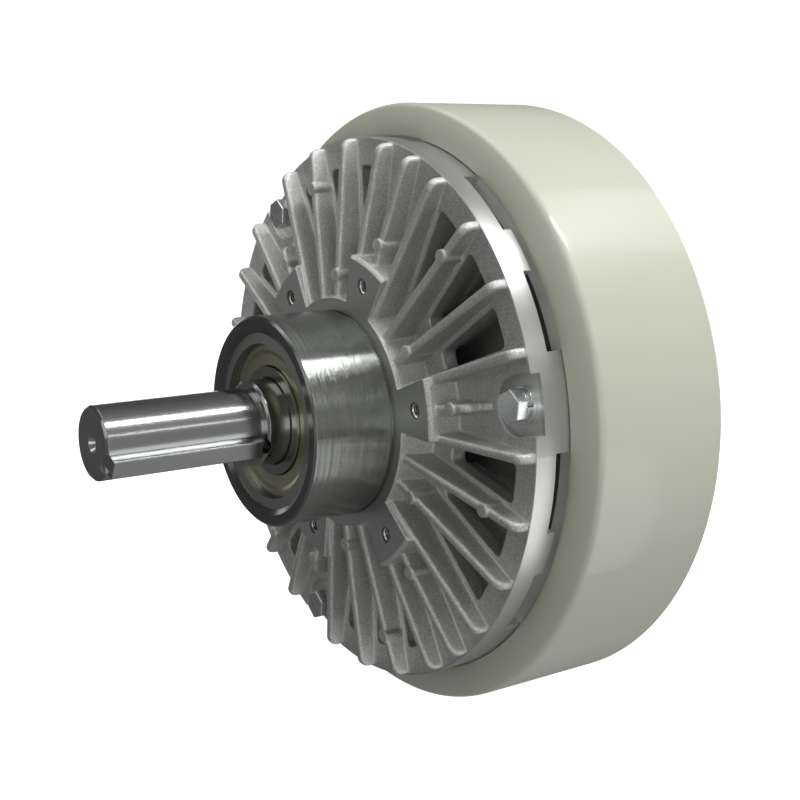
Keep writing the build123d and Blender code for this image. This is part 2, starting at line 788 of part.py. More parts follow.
# Magnetic circuit: yoke, rear pole ring and the non-magnetic ring between the poles
with BuildPart() as yoke_body:
    with BuildSketch(Plane.XY):
        with BuildLine():
            Polyline(
                (pole_bore_r, mouth_floor_y),
                (mouth_recess_r, mouth_floor_y),
                (mouth_recess_r, mouth_seat_y),
                (mouth_r, mouth_seat_y),
                (mouth_r, yoke_front_y),
                (yoke_r, yoke_front_y),
                (yoke_r, yoke_back_y),
                (coil_chamber_r, yoke_back_y),
                (coil_chamber_r, coil_front_y),
                (pole_tip_r, coil_front_y),
                (pole_tip_r, front_tip_y),
                (pole_bore_r, front_tip_y),
                close=True,
            )
        make_face()
        outer_corners = vertices().group_by(Axis.X)[-1].sort_by(Axis.Y)
        fillet(outer_corners[0], yoke_front_round)
        fillet(vertices().group_by(Axis.X)[-1].sort_by(Axis.Y)[-1], yoke_back_round)
    revolve(axis=Axis.Y)
    with BuildSketch(station(mouth_floor_y)):
        with PolarLocations(bolt_circle_r, bolt_count, pad_phase):
            Circle(bolt_r + turned_fit)
    front_bolt_tip_y = pocket_y - washer_thick - spring_washer_thick + bolt_length
    extrude(amount=-(front_bolt_tip_y - mouth_floor_y + bolt_hole_room), mode=Mode.SUBTRACT)
    with BuildSketch(station(mouth_floor_y)):
        with PolarLocations(plate_screw_circle_r, pad_count, 0):
            Circle(plate_screw_r + turned_fit)
    extrude(amount=-plate_screw_length, mode=Mode.SUBTRACT)
save(yoke_body.part, "yoke_body")

with BuildPart() as rear_pole_ring:
    with BuildSketch(Plane.XY):
        with BuildLine():
            Polyline(
                (pole_bore_r, rear_tip_y),
                (pole_tip_r, rear_tip_y),
                (pole_tip_r, coil_back_y),
                (coil_chamber_r - turned_fit, coil_back_y),
                (coil_chamber_r - turned_fit, pole_ring_back_y),
                (pole_bore_r, pole_ring_back_y),
                close=True,
            )
        make_face()
    revolve(axis=Axis.Y)
    rear_bolt_tip_y = rear_bolt_seat_y + washer_thick + spring_washer_thick - rear_bolt_length
    with BuildSketch(station(pole_ring_back_y)):
        with PolarLocations(rear_bolt_circle_r, bolt_count, pad_phase):
            Circle(bolt_r + turned_fit)
    extrude(amount=pole_ring_back_y - rear_bolt_tip_y + bolt_hole_room, mode=Mode.SUBTRACT)
    with BuildSketch(station(pole_ring_back_y)):
        with Locations(Location((0, 0, 0), (0, 0, block_angle))):
            for side in (-1, 1):
                with Locations((lead_at_r, side * lead_spread)):
                    Circle(lead_r + soft_gap)
    extrude(amount=pole_ring_back_y - coil_back_y, mode=Mode.SUBTRACT)
save(rear_pole_ring.part, "rear_pole_ring")

barrier = ring_outline(pole_bore_r, pole_tip_r - turned_fit, front_tip_y, rear_tip_y)
save(turned("flux_barrier_ring", barrier), "flux_barrier_ring")

# Coil on its bobbin, and the two leads to the terminals
bobbin_in_r = pole_tip_r + turned_fit
bobbin_out_r = coil_chamber_r - end_play
bobbin_front_y = coil_front_y + end_play
bobbin_back_y = coil_back_y - end_play
coil_bobbin = turned(
    "coil_bobbin",
    [
        (bobbin_in_r, bobbin_front_y),
        (bobbin_out_r, bobbin_front_y),
        (bobbin_out_r, bobbin_front_y + bobbin_wall),
        (bobbin_in_r + bobbin_wall, bobbin_front_y + bobbin_wall),
        (bobbin_in_r + bobbin_wall, bobbin_back_y - bobbin_wall),
        (bobbin_out_r, bobbin_back_y - bobbin_wall),
        (bobbin_out_r, bobbin_back_y),
        (bobbin_in_r, bobbin_back_y),
    ],
)
save(coil_bobbin, "coil_bobbin")
winding = ring_outline(
    bobbin_in_r + bobbin_wall + turned_fit,
    bobbin_out_r - winding_room,
    bobbin_front_y + bobbin_wall + turned_fit,
    bobbin_back_y - bobbin_wall - turned_fit,
)
save(turned("field_coil", winding), "field_coil")
with BuildPart() as coil_leads:
    with BuildSketch(station(bobbin_back_y)):
        with Locations(Location((0, 0, 0), (0, 0, block_angle))):
            for side in (-1, 1):
                with Locations((lead_at_r, side * lead_spread)):
                    Circle(lead_r)
    extrude(amount=-(rear_web_back_y + block_floor - bobbin_back_y))
save(coil_leads.part, "coil_leads")

# Rotor drum on its keyed hub, and the powder that fills the working gap
with BuildPart() as rotor_drum:
    web_middle_y = (rotor_front_y + rotor_back_y) / 2
    with BuildSketch(Plane.XY):
        with BuildLine():
            Polyline(
                (rotor_seat_r + turned_fit, collar_back_y),
                (rotor_hub_r, collar_back_y),
                (rotor_hub_r, web_middle_y - rotor_web / 2),
                (rotor_r - rotor_rim_wall, web_middle_y - rotor_web / 2),
                (rotor_r - rotor_rim_wall, rotor_front_y),
                (rotor_r, rotor_front_y),
                (rotor_r, rotor_back_y),
                (rotor_r - rotor_rim_wall, rotor_back_y),
                (rotor_r - rotor_rim_wall, web_middle_y + rotor_web / 2),
                (rotor_hub_r, web_middle_y + rotor_web / 2),
                (rotor_hub_r, rotor_hub_back_y),
                (rotor_seat_r + turned_fit, rotor_hub_back_y),
                close=True,
            )
        make_face()
    revolve(axis=Axis.Y)
    with BuildSketch(rotor_keyway_plane):
        with Locations(((collar_back_y + rotor_hub_back_y) / 2, 0)):
            Rectangle(rotor_hub_length + 2, rotor_key_width + 2 * turned_fit)
    extrude(amount=rotor_key_height + turned_fit, mode=Mode.SUBTRACT)
save(rotor_drum.part, "rotor_drum")
powder = ring_outline(
    rotor_r + soft_gap, pole_bore_r - turned_fit,
    rotor_front_y + powder_end_gap, rotor_back_y - powder_end_gap,
)
save(turned("magnetic_powder", powder), "magnetic_powder")


def countersunk_screws(name, plane, circle_r, count, phase, body_r, head_r, length):
    """Countersunk screws with a cross recess, flush with the plane, heads along its normal."""
    with BuildPart() as screw:
        Cylinder(body_r, length, align=(Align.CENTER, Align.CENTER, Align.MAX))
        head_height = head_r - body_r
        with Locations((0, 0, -head_height)):
            Cone(body_r, head_r, head_height, align=(Align.CENTER, Align.CENTER, Align.MIN))
        with BuildSketch(Plane.XY):
            Rectangle(1.4 * head_r, 0.3 * head_r)
            Rectangle(0.3 * head_r, 1.4 * head_r)
        extrude(amount=-0.5 * head_height, mode=Mode.SUBTRACT)
    place_fasteners(name, screw.part, plane, circle_r, count, phase)


def place_fasteners(name, single, plane, circle_r, count, phase):
    """Repeat one fastener, modelled along +Z, on a bolt circle of a plane."""
    with BuildPart() as group:
        with Locations(plane):
            with PolarLocations(circle_r, count, phase):
                add(single)
    save(group.part, name)


# Front chamber plate, seated in the mouth of the yoke
with BuildPart() as front_chamber_plate:
    with BuildSketch(station(mouth_floor_y)):
        Circle(plate_r)
        Circle(collar_r + running_gap, mode=Mode.SUBTRACT)
    extrude(amount=plate_thick)
    with Locations(station(mouth_floor_y - plate_thick)):
        with PolarLocations(plate_screw_circle_r, pad_count, 0):
            CounterSinkHole(
                plate_screw_r + turned_fit, plate_screw_head_r + turned_fit,
                plate_thick + 1, plate_screw_angle,
            )
save(front_chamber_plate.part, "front_chamber_plate")
countersunk_screws(
    "chamber_plate_screws", station(mouth_floor_y - plate_thick), plate_screw_circle_r, pad_count, 0,
    plate_screw_r, plate_screw_head_r, plate_screw_length,
)


def washer_ring(outer_r, inner_r, thickness, slit):
    """Flat ring standing on Z 0, with an optional slit for a spring washer."""
    with BuildPart() as ring:
        with BuildSketch():
            Circle(outer_r)
            Circle(inner_r, mode=Mode.SUBTRACT)
            if slit:
                with Locations((outer_r, 0)):
                    Rectangle(outer_r * 2, slit, rotation=spring_washer_turn, mode=Mode.SUBTRACT)
        extrude(amount=thickness)
    return ring.part


def hex_bolt(length):
    """Hex bolt along Z whose head bears on Z 0, with the head's corners turned off."""
    crown_r = bolt_crown * bolt_flats / 2
    with BuildPart() as bolt:
        with BuildSketch():
            RegularPolygon(bolt_flats / 2, 6, major_radius=False, rotation=bolt_turn)
        extrude(amount=bolt_head - bolt_edge)
        extrude(faces().sort_by(Axis.Z)[-1], amount=bolt_edge, taper=45)
        Cone(
            crown_r + bolt_head / tan(radians(bolt_crown_angle)), crown_r, bolt_head,
            align=(Align.CENTER, Align.CENTER, Align.MIN), mode=Mode.INTERSECT,
        )
        Cylinder(bolt_r, length, align=(Align.CENTER, Align.CENTER, Align.MAX))
        chamfer(bolt.edges().sort_by(Axis.Z)[0], bolt_end_edge)
    return bolt.part


def bolt_sets(prefix, seat, circle_r, length, phase):
    """Bolts with a spring washer and a flat washer each, on a seat plane."""
    flat = washer_ring(washer_r, bolt_r + screw_gap, washer_thick, 0)
    spring = washer_ring(spring_washer_r, bolt_r + turned_fit, spring_washer_thick, spring_washer_slit)
    spring_seat = seat.offset(washer_thick)
    head_seat = spring_seat.offset(spring_washer_thick)
    place_fasteners(f"{prefix}_flat_washers", flat, seat, circle_r, bolt_count, phase)
    place_fasteners(f"{prefix}_spring_washers", spring, spring_seat, circle_r, bolt_count, phase)
    place_fasteners(f"{prefix}_bolts", hex_bolt(length), head_seat, circle_r, bolt_count, phase)


bolt_sets("front_bracket", station(pocket_y), bolt_circle_r, bolt_length, pad_phase)
bolt_sets("rear_bracket", rear_station(rear_bolt_seat_y), rear_bolt_circle_r, rear_bolt_length, -pad_phase)

# Rear bracket: closes the powder chamber and carries the rear bearing
with BuildPart() as rear_fin:
    with BuildSketch(Plane.XY):
        with BuildLine():
            Polyline(
                (rear_hub_r - 1, rear_web_back_y - 1),
                (coil_chamber_r - rear_rim_width, rear_web_back_y - 1),
                (coil_chamber_r - rear_rim_width, rear_web_back_y + rear_fin_out_height),
                (rear_hub_r - 1, rear_web_back_y + rear_fin_in_height),
                close=True,
            )
        make_face()
        fillet(vertices().group_by(Axis.X)[-1].sort_by(Axis.Y)[-1], fin_corner_r)
    extrude(amount=fin_thick / 2, both=True)
    rear_crest = rear_fin.faces().filter_by(lambda face: face.normal_at().Y > 0.5)
    fillet(rear_crest.edges().filter_by(lambda edge: abs(edge.center().Z) > fin_thick / 4), fin_edge_r)

with BuildPart() as rear_bracket:
    with BuildSketch(Plane.XY):
        with BuildLine():
            Polyline(
                (rear_neck_r + soft_gap + running_gap, rear_hub_front_y),
                (rear_hub_r, rear_hub_front_y),
                (rear_hub_r, pole_ring_back_y),
                (coil_chamber_r - turned_fit, pole_ring_back_y),
                (coil_chamber_r - turned_fit, rear_web_back_y + rear_rim_height),
                (coil_chamber_r - rear_rim_width, rear_web_back_y + rear_rim_height),
                (coil_chamber_r - rear_rim_width, rear_web_back_y),
                (rear_hub_r + 1, rear_web_back_y),
                (rear_hub_r, cover_seat_y),
                (rear_bearing_r + turned_fit, cover_seat_y),
                (rear_bearing_r + turned_fit, rear_bearing_front_y),
                (rear_felt_r, rear_bearing_front_y),
                (rear_felt_r, rear_hub_front_y + rear_lip),
                (rear_neck_r + soft_gap + running_gap, rear_hub_front_y + rear_lip),
                close=True,
            )
        make_face()
    revolve(axis=Axis.Y)
    rear_angles = [
        angle for angle in sector_angles(fin_offsets) if abs((angle - block_angle + 180) % 360 - 180) > 1
    ]
    add([rear_fin.part.rotate(shaft_axis, angle) for angle in rear_angles])
    with BuildSketch(rear_station(pole_ring_back_y + 1)):
        with PolarLocations(rear_bolt_circle_r, bolt_count, -pad_phase):
            Circle(bolt_boss_r)
    extrude(amount=rear_bolt_seat_y - pole_ring_back_y - 1)
    with BuildSketch(rear_station(pole_ring_back_y)):
        with PolarLocations(rear_bolt_circle_r, bolt_count, -pad_phase):
            Circle(bolt_r + screw_gap)
    extrude(amount=rear_bolt_seat_y - pole_ring_back_y, mode=Mode.SUBTRACT)
    with BuildSketch(rear_station(cover_seat_y)):
        with PolarLocations(cover_screw_circle_r, cover_screw_count, 0):
            Circle(cover_screw_r + turned_fit)
    extrude(amount=-cover_screw_length, mode=Mode.SUBTRACT)
    with BuildSketch(station(rear_web_back_y)):
        with Locations(Location((0, 0, 0), (0, 0, block_angle))):
            for side in (-1, 1):
                with Locations((lead_at_r, side * lead_spread)):
                    Circle(lead_r + soft_gap)
                with Locations((block_centre_r + side * (block_length - block_end) / 2, 0)):
                    Circle(block_screw_r + turned_fit)
    extrude(amount=rear_web, mode=Mode.SUBTRACT)
save(rear_bracket.part, "rear_bracket")

preload = ring_outline(
    rear_felt_r + 1, rear_bearing_r - turned_fit,
    rear_bearing_back_y, rear_bearing_back_y + preload_thick,
)
save(turned("preload_washer", preload), "preload_washer")
with BuildPart() as rear_cover:
    with BuildSketch(Plane.XY):
        with BuildLine():
            Polyline(
                (0, cover_seat_y + rear_cover_thick),
                (rear_hub_r - 1, cover_seat_y + rear_cover_thick),
                (rear_hub_r, cover_seat_y + rear_cover_thick - 1),
                (rear_hub_r, cover_seat_y),
                (rear_bearing_r - turned_fit, cover_seat_y),
                (rear_bearing_r - turned_fit, cover_seat_y - rear_cover_spigot),
                (rear_felt_r, cover_seat_y - rear_cover_spigot),
                (rear_felt_r, cover_seat_y + rear_cover_thick / 2),
                (0, cover_seat_y + rear_cover_thick / 2),
                close=True,
            )
        make_face()
    revolve(axis=Axis.Y)
    with BuildSketch(rear_station(cover_seat_y)):
        with PolarLocations(cover_screw_circle_r, cover_screw_count, 0):
            Circle(cover_screw_r + screw_gap)
    extrude(amount=rear_cover_thick, mode=Mode.SUBTRACT)
save(rear_cover.part, "rear_cover")


def pan_screw(body_r, head_r, head_height, length):
    """Pan head screw along Z with a cross recess, bearing on Z 0."""
    with BuildPart() as screw:
        Cylinder(head_r, head_height, align=(Align.CENTER, Align.CENTER, Align.MIN))
        fillet(screw.edges().sort_by(Axis.Z)[-1], head_height * 0.45)
        Cylinder(body_r, length, align=(Align.CENTER, Align.CENTER, Align.MAX))
        with BuildSketch(Plane.XY.offset(head_height)):
            Rectangle(1.2 * head_r, 0.3 * head_r)
            Rectangle(0.3 * head_r, 1.2 * head_r)
        extrude(amount=-head_height / 2, mode=Mode.SUBTRACT)
    return screw.part


cover_screw = pan_screw(cover_screw_r, cover_screw_head_r, cover_screw_head, cover_screw_length)
place_fasteners(
    "rear_cover_screws", cover_screw, rear_station(cover_seat_y + rear_cover_thick),
    cover_screw_circle_r, cover_screw_count, 0,
)

# Terminal block with two screw terminals, standing on the rear bracket's web
block_plane = Plane(
    origin=(0, rear_web_back_y, 0),
    x_dir=(cos(radians(block_angle)), 0, sin(radians(block_angle))),
    z_dir=(0, 1, 0),
)
terminal_spread = (block_width - block_wall) / 4
with BuildPart() as terminal_block:
    with BuildSketch(block_plane):
        with Locations((block_centre_r, 0)):
            RectangleRounded(block_length, block_width, block_corner_r)
    extrude(amount=block_floor)
    with BuildSketch(block_plane.offset(block_floor)):
        with Locations((block_centre_r, 0)):
            with GridLocations(0, (block_width - block_wall) / 2, 1, 3):
                Rectangle(block_length - 2 * block_end, block_wall)
    extrude(amount=block_height - block_floor)
    with BuildSketch(block_plane):
        for side in (-1, 1):
            with Locations((block_centre_r + side * (block_length - block_end) / 2, 0)):
                Circle(block_screw_r + screw_gap)
            with Locations((lead_at_r, side * lead_spread)):
                Circle(lead_r + turned_fit)
            with Locations((block_centre_r, side * terminal_spread)):
                Circle(terminal_screw_r + turned_fit)
    extrude(amount=block_height, mode=Mode.SUBTRACT)
save(terminal_block.part, "terminal_block")
terminal_screw = pan_screw(terminal_screw_r, terminal_head_r, terminal_head, block_floor - 1)
with BuildPart() as terminal_screws:
    with Locations(block_plane.offset(block_floor)):
        with Locations((block_centre_r, terminal_spread), (block_centre_r, -terminal_spread)):
            add(terminal_screw)
save(terminal_screws.part, "terminal_screws")
block_screw = pan_screw(block_screw_r, block_screw_head_r, block_screw_head, block_screw_length)
with BuildPart() as terminal_block_screws:
    with Locations(block_plane.offset(block_floor)):
        half_span = (block_length - block_end) / 2
        with Locations((block_centre_r - half_span, 0), (block_centre_r + half_span, 0)):
            add(block_screw)
save(terminal_block_screws.part, "terminal_block_screws")
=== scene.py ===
"""Looks of a naturally cooled magnetic powder brake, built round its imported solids.

Sizes of the brake are millimetres and its meshes are made in metres. The studio's camera, lamps and
sheets are given in metres. The shaft's axis is Y, its free end points to -Y, and Z is up. Angles run
from +X towards +Z, seen from the shaft's end.
"""
import logging
import math
from dataclasses import dataclass
from enum import Enum
from typing import Any, Dict, List, Mapping, Optional, Sequence, Tuple, Union

import bpy
from mathutils import Matrix, Vector


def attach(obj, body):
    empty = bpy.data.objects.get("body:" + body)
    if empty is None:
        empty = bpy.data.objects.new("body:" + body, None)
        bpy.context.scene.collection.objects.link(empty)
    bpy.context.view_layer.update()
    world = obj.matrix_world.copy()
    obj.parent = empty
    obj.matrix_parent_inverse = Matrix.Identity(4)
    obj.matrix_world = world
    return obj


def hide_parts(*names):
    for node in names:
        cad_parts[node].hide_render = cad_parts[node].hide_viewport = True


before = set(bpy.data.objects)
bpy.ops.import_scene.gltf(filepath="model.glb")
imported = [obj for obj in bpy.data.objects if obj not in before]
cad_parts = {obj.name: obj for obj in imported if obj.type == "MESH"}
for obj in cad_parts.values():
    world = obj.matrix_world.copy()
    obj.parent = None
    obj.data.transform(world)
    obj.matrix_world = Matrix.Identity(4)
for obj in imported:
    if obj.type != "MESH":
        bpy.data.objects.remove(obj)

LOG = logging.getLogger("powder_brake")
MM = 0.001
QUARTER_TURN = math.radians(90.0)

Colour = Tuple[float, float, float]
Place = Tuple[float, float, float]
Point = Tuple[float, float]
Span = Tuple[float, float]
Term = Union["Sock", float, int, bool, Sequence[float]]

# The rotation that lays a circle's axis along the shaft.
UPRIGHT: Place = (QUARTER_TURN, 0.0, 0.0)

# Numbers of a Mix node's two ends and of its result, for colours and for vectors.
COLOUR_ENDS = (6, 7, 2)
VECTOR_ENDS = (4, 5, 1)

# Sizes that a finish shares with the piece it goes on.
TAP_COUNT = 6
TAP_CIRCLE_R = 50.0
TAP_PHASE = 9.7
RECESS_R = 92.3


class Sock:
    """An output socket that can be used in Python arithmetic."""

    def __init__(self, sheet: "Sheet", socket: Optional[bpy.types.NodeSocket]) -> None:
        """Wrap a socket of a sheet.

        Args:
            sheet: The sheet that holds the socket's node.
            socket: The output socket, or None for a node that has no output.
        """
        self.sheet = sheet
        self.socket = socket

    def out(self, key: Union[str, int]) -> "Sock":
        """Another output of the same node."""
        return Sock(self.sheet, self.socket.node.outputs[key])

    def _math(self, operation: str, *terms: Term) -> "Sock":
        """A Math node over the terms."""
        return self.sheet.add("ShaderNodeMath", {"operation": operation}, dict(enumerate(terms)))

    def __add__(self, other: Term) -> "Sock":
        """Sum of two values."""
        return self._math("ADD", self, other)

    def __radd__(self, other: Term) -> "Sock":
        """Sum with a number on the left."""
        return self._math("ADD", other, self)

    def __sub__(self, other: Term) -> "Sock":
        """Difference of two values."""
        return self._math("SUBTRACT", self, other)

    def __rsub__(self, other: Term) -> "Sock":
        """Difference with a number on the left."""
        return self._math("SUBTRACT", other, self)

    def __mul__(self, other: Term) -> "Sock":
        """Product of two values."""
        return self._math("MULTIPLY", self, other)

    def __rmul__(self, other: Term) -> "Sock":
        """Product with a number on the left."""
        return self._math("MULTIPLY", other, self)

    def __pow__(self, other: Term) -> "Sock":
        """Power of a value."""
        return self._math("POWER", self, other)

    def __abs__(self) -> "Sock":
        """Size of a value without its sign."""
        return self._math("ABSOLUTE", self)

    def largest(self, other: Term) -> "Sock":
        """The greater of two values."""
        return self._math("MAXIMUM", self, other)


class Sheet:
    """A node tree that is filled from Python."""

    def __init__(self, tree: bpy.types.NodeTree) -> None:
        """Start an empty sheet.

        Args:
            tree: The node tree to fill.
        """
        tree.nodes.clear()
        self.tree = tree

    def add(
        self,
        kind: str,
        settings: Optional[Mapping[str, Any]] = None,
        inputs: Optional[Mapping[Union[str, int], Term]] = None,
        output: Union[str, int] = 0,
    ) -> Sock:
        """Add any node.

        Args:
            kind: Node type.
            settings: Node properties, set before the sockets.
            inputs: Value or link of each input socket, by name or number.
            output: The output that is returned.

        Returns:
            The chosen output.
        """
        node = self.tree.nodes.new(kind)
        for key, value in (settings or {}).items():
            setattr(node, key, value)
        for key, value in (inputs or {}).items():
            if isinstance(value, Sock):
                self.tree.links.new(value.socket, node.inputs[key])
            else:
                node.inputs[key].default_value = value
        chosen = node.outputs[output] if node.outputs else None
        return Sock(self, chosen)


@dataclass(frozen=True)
class Grain:
    """How fine and how rough a cloudy pattern is."""

    per_mm: float
    detail: float = 2.0
    rough: float = 0.5


class PaintSheet(Sheet):
    """The nodes of one material, with the object's own coordinates in millimetres."""

    flat_rise: Span = (0.6, 0.8)
    ring_rough: float = 0.65
    mask_fade: float = 1.4
    edge_samples: int = 6

    def __init__(self, tree: bpy.types.NodeTree) -> None:
        """Start the sheet with its coordinates.

        Args:
            tree: The material's node tree.
        """
        super().__init__(tree)
        place = self.add("ShaderNodeTexCoord", output="Object")
        self.place = self.add("ShaderNodeVectorMath", {"operation": "SCALE"}, {0: place, "Scale": 1 / MM})
        axes = self.add("ShaderNodeSeparateXYZ", {}, {"Vector": self.place})
        self.across = axes.out("X")
        self.station = axes.out("Y")
        self.height = axes.out("Z")
        self.radius = (self.across * self.across + self.height * self.height) ** 0.5
        facing = self.add("ShaderNodeNewGeometry", output="True Normal")
        turned_to = self.add("ShaderNodeSeparateXYZ", {}, {"Vector": facing}, "Y")
        self.flat = self.rise(abs(turned_to), *self.flat_rise)
        track = self.station * (1.0 - self.flat) + self.radius * self.flat
        self.lathe = self.add("ShaderNodeCombineXYZ", {}, {"X": track})

    def noise(self, grain: Grain, place: Optional[Sock] = None) -> Sock:
        """Cloudy value between 0 and 1.

        Args:
            grain: How fine and how rough the clouds are.
            place: Coordinates, if not the object's own.

        Returns:
            The noise's value.
        """
        values = {
            "Vector": place or self.place,
            "Scale": grain.per_mm,
            "Detail": grain.detail,
            "Roughness": grain.rough,
        }
        return self.add("ShaderNodeTexNoise", {}, values)

    def rings(self, per_mm: float, detail: float = 3.0) -> Sock:
        """Tool marks that run round the shaft's axis."""
        return self.noise(Grain(per_mm, detail, self.ring_rough), self.lathe)

    def rise(self, value: Sock, start: float, end: float) -> Sock:
        """Smooth step from 0 at start to 1 at end."""
        values = {"Value": value, "From Min": start, "From Max": end}
        return self.add("ShaderNodeMapRange", {"interpolation_type": "SMOOTHSTEP"}, values)

    def near(self, value: Sock, middle: float, half_width: float) -> Sock:
        """Mask that is 1 where a value lies within half_width of the middle."""
        return 1.0 - self.rise(abs(value - middle), half_width, half_width * self.mask_fade)

    def span(self, value: Sock, low: float, high: float) -> Sock:
        """A value between 0 and 1 spread over low to high."""
        return value * (high - low) + low

    def blend(self, share: Term, first: Union[Sock, Colour], second: Union[Sock, Colour]) -> Sock:
        """Colour between two colours.

        Args:
            share: 0 for the first, 1 for the second.
            first: A colour or a linked colour.
            second: A colour or a linked colour.

        Returns:
            The mixed colour.
        """
        low, high, result = COLOUR_ENDS
        ends = [end if isinstance(end, Sock) else (*end, 1.0) for end in (first, second)]
        values = {0: share, low: ends[0], high: ends[1]}
        return self.add("ShaderNodeMix", {"data_type": "RGBA"}, values, result)

    def between(self, share: Sock, first: Sock, second: Sock) -> Sock:
        """Normal between two normals.

        Args:
            share: 0 for the first, 1 for the second.
            first: A normal.
            second: A normal.

        Returns:
            The mixed normal.
        """
        low, high, result = VECTOR_ENDS
        values = {0: share, low: first, high: second}
        return self.add("ShaderNodeMix", {"data_type": "VECTOR"}, values, result)

    def soft_edges(self, radius_mm: float) -> Sock:
        """Normal that runs smoothly round edges and corners."""
        return self.add("ShaderNodeBevel", {"samples": self.edge_samples}, {"Radius": radius_mm * MM})

    def edge_share(self, softened: Sock) -> Sock:
        """How far a softened normal leaves the surface's own.

        Args:
            softened: The softened normal.

        Returns:
            0 where the two agree, rising to 1 where they stand square.
        """
        plain = self.add("ShaderNodeNewGeometry", output="Normal")
        normals = {0: plain, 1: softened}
        return 1.0 - self.add("ShaderNodeVectorMath", {"operation": "DOT_PRODUCT"}, normals, "Value")

    def relief(self, height: Sock, depth_mm: float, strength: float, under: Optional[Sock] = None) -> Sock:
        """Bumped normal.

        Args:
            height: Height value between 0 and 1.
            depth_mm: Height of a value of 1.
            strength: Share of the relief that shows.
            under: Normal beneath the relief.

        Returns:
            The normal.
        """
        values: Dict[Union[str, int], Term] = {
            "Height": height,
            "Distance": depth_mm * MM,
            "Strength": strength,
        }
        if under is not None:
            values["Normal"] = under
        return self.add("ShaderNodeBump", {}, values)


@dataclass(frozen=True)
class Finish:
    """A surface finish. Each kind of finish says what feeds its shader."""

    name: str
    slot: str

    def surface(self, sheet: PaintSheet) -> Dict[str, Term]:
        """What goes into the shader's sockets.

        Args:
            sheet: The material's sheet.

        Returns:
            Socket name to value or link.
        """
        raise NotImplementedError

    def material(self) -> bpy.types.Material:
        """Make the material of this finish, or find it where it was made before.

        Returns:
            The material.
        """
        known = bpy.data.materials.get(self.name)
        if known is not None:
            return known
        material = bpy.data.materials.new(self.name)
        material.use_nodes = True
        sheet = PaintSheet(material.node_tree)
        shader = sheet.add("ShaderNodeBsdfPrincipled", {}, self.surface(sheet))
        sheet.add("ShaderNodeOutputMaterial", {}, {"Surface": shader})
        return material


@dataclass(frozen=True)
class YokeEnamel(Finish):
    """Glossy grey-green enamel, with the turned steel of the yoke's mouth left bare and painted shade, a
    dark grey, on the recess inside its seat.
    """

    light: Colour = (0.530, 0.540, 0.445)
    deep: Colour = (0.492, 0.504, 0.408)
    steel: Colour = (0.95, 0.95, 0.91)
    steel_marks: Colour = (0.84, 0.84, 0.80)
    # Painted shade: a dark grey for the recess inside the seat, which lies in shadow behind the bracket's
    # slots.
    recess_painted_shade: Colour = (0.20, 0.20, 0.195)
    bare_r: float = 98.4
    recess_r: float = RECESS_R
    fade: float = 0.1
    cloud: Grain = Grain(0.025, 3.0)
    peel: Grain = Grain(0.45, 1.5)
    rings_per_mm: float = 2.5
    paint_rough: Span = (0.38, 0.45)
    steel_rough: Span = (0.62, 0.80)
    coat: float = 0.45
    coat_rough: float = 0.07
    relief_mm: float = 0.02
    relief_share: float = 0.5

    def surface(self, sheet: PaintSheet) -> Dict[str, Term]:
        """Enamel with a faint orange peel, bare metal inside the mouth's radius, and painted shade on the
        recess inside the seat.

        Args:
            sheet: The material's sheet.

        Returns:
            Socket name to value or link.
        """
        bare = 1.0 - sheet.rise(sheet.radius, self.bare_r - self.fade, self.bare_r)
        # Mask of the faces inside the recess radius, which take the painted shade.
        inside = 1.0 - sheet.rise(sheet.radius, self.recess_r - self.fade, self.recess_r + self.fade)
        peel = sheet.noise(self.peel)
        marks = sheet.rings(self.rings_per_mm)
        paint = sheet.blend(sheet.noise(self.cloud), self.light, self.deep)
        metal = sheet.blend(marks, self.steel_marks, self.steel)
        # Painted shade: the recess inside the seat is darkened to a dark grey.
        metal = sheet.blend(inside, metal, self.recess_painted_shade)
        paint_rough = sheet.span(peel, *self.paint_rough) * (1.0 - bare)
        steel_rough = sheet.span(marks, *self.steel_rough) * bare
        height = peel * (1.0 - bare) + marks * bare
        return {
            "Base Color": sheet.blend(bare, paint, metal),
            "Metallic": bare,
            "Roughness": paint_rough + steel_rough,
            "Coat Weight": (1.0 - bare) * self.coat,
            "Coat Roughness": self.coat_rough,
            "Normal": sheet.relief(height, self.relief_mm, self.relief_share),
        }


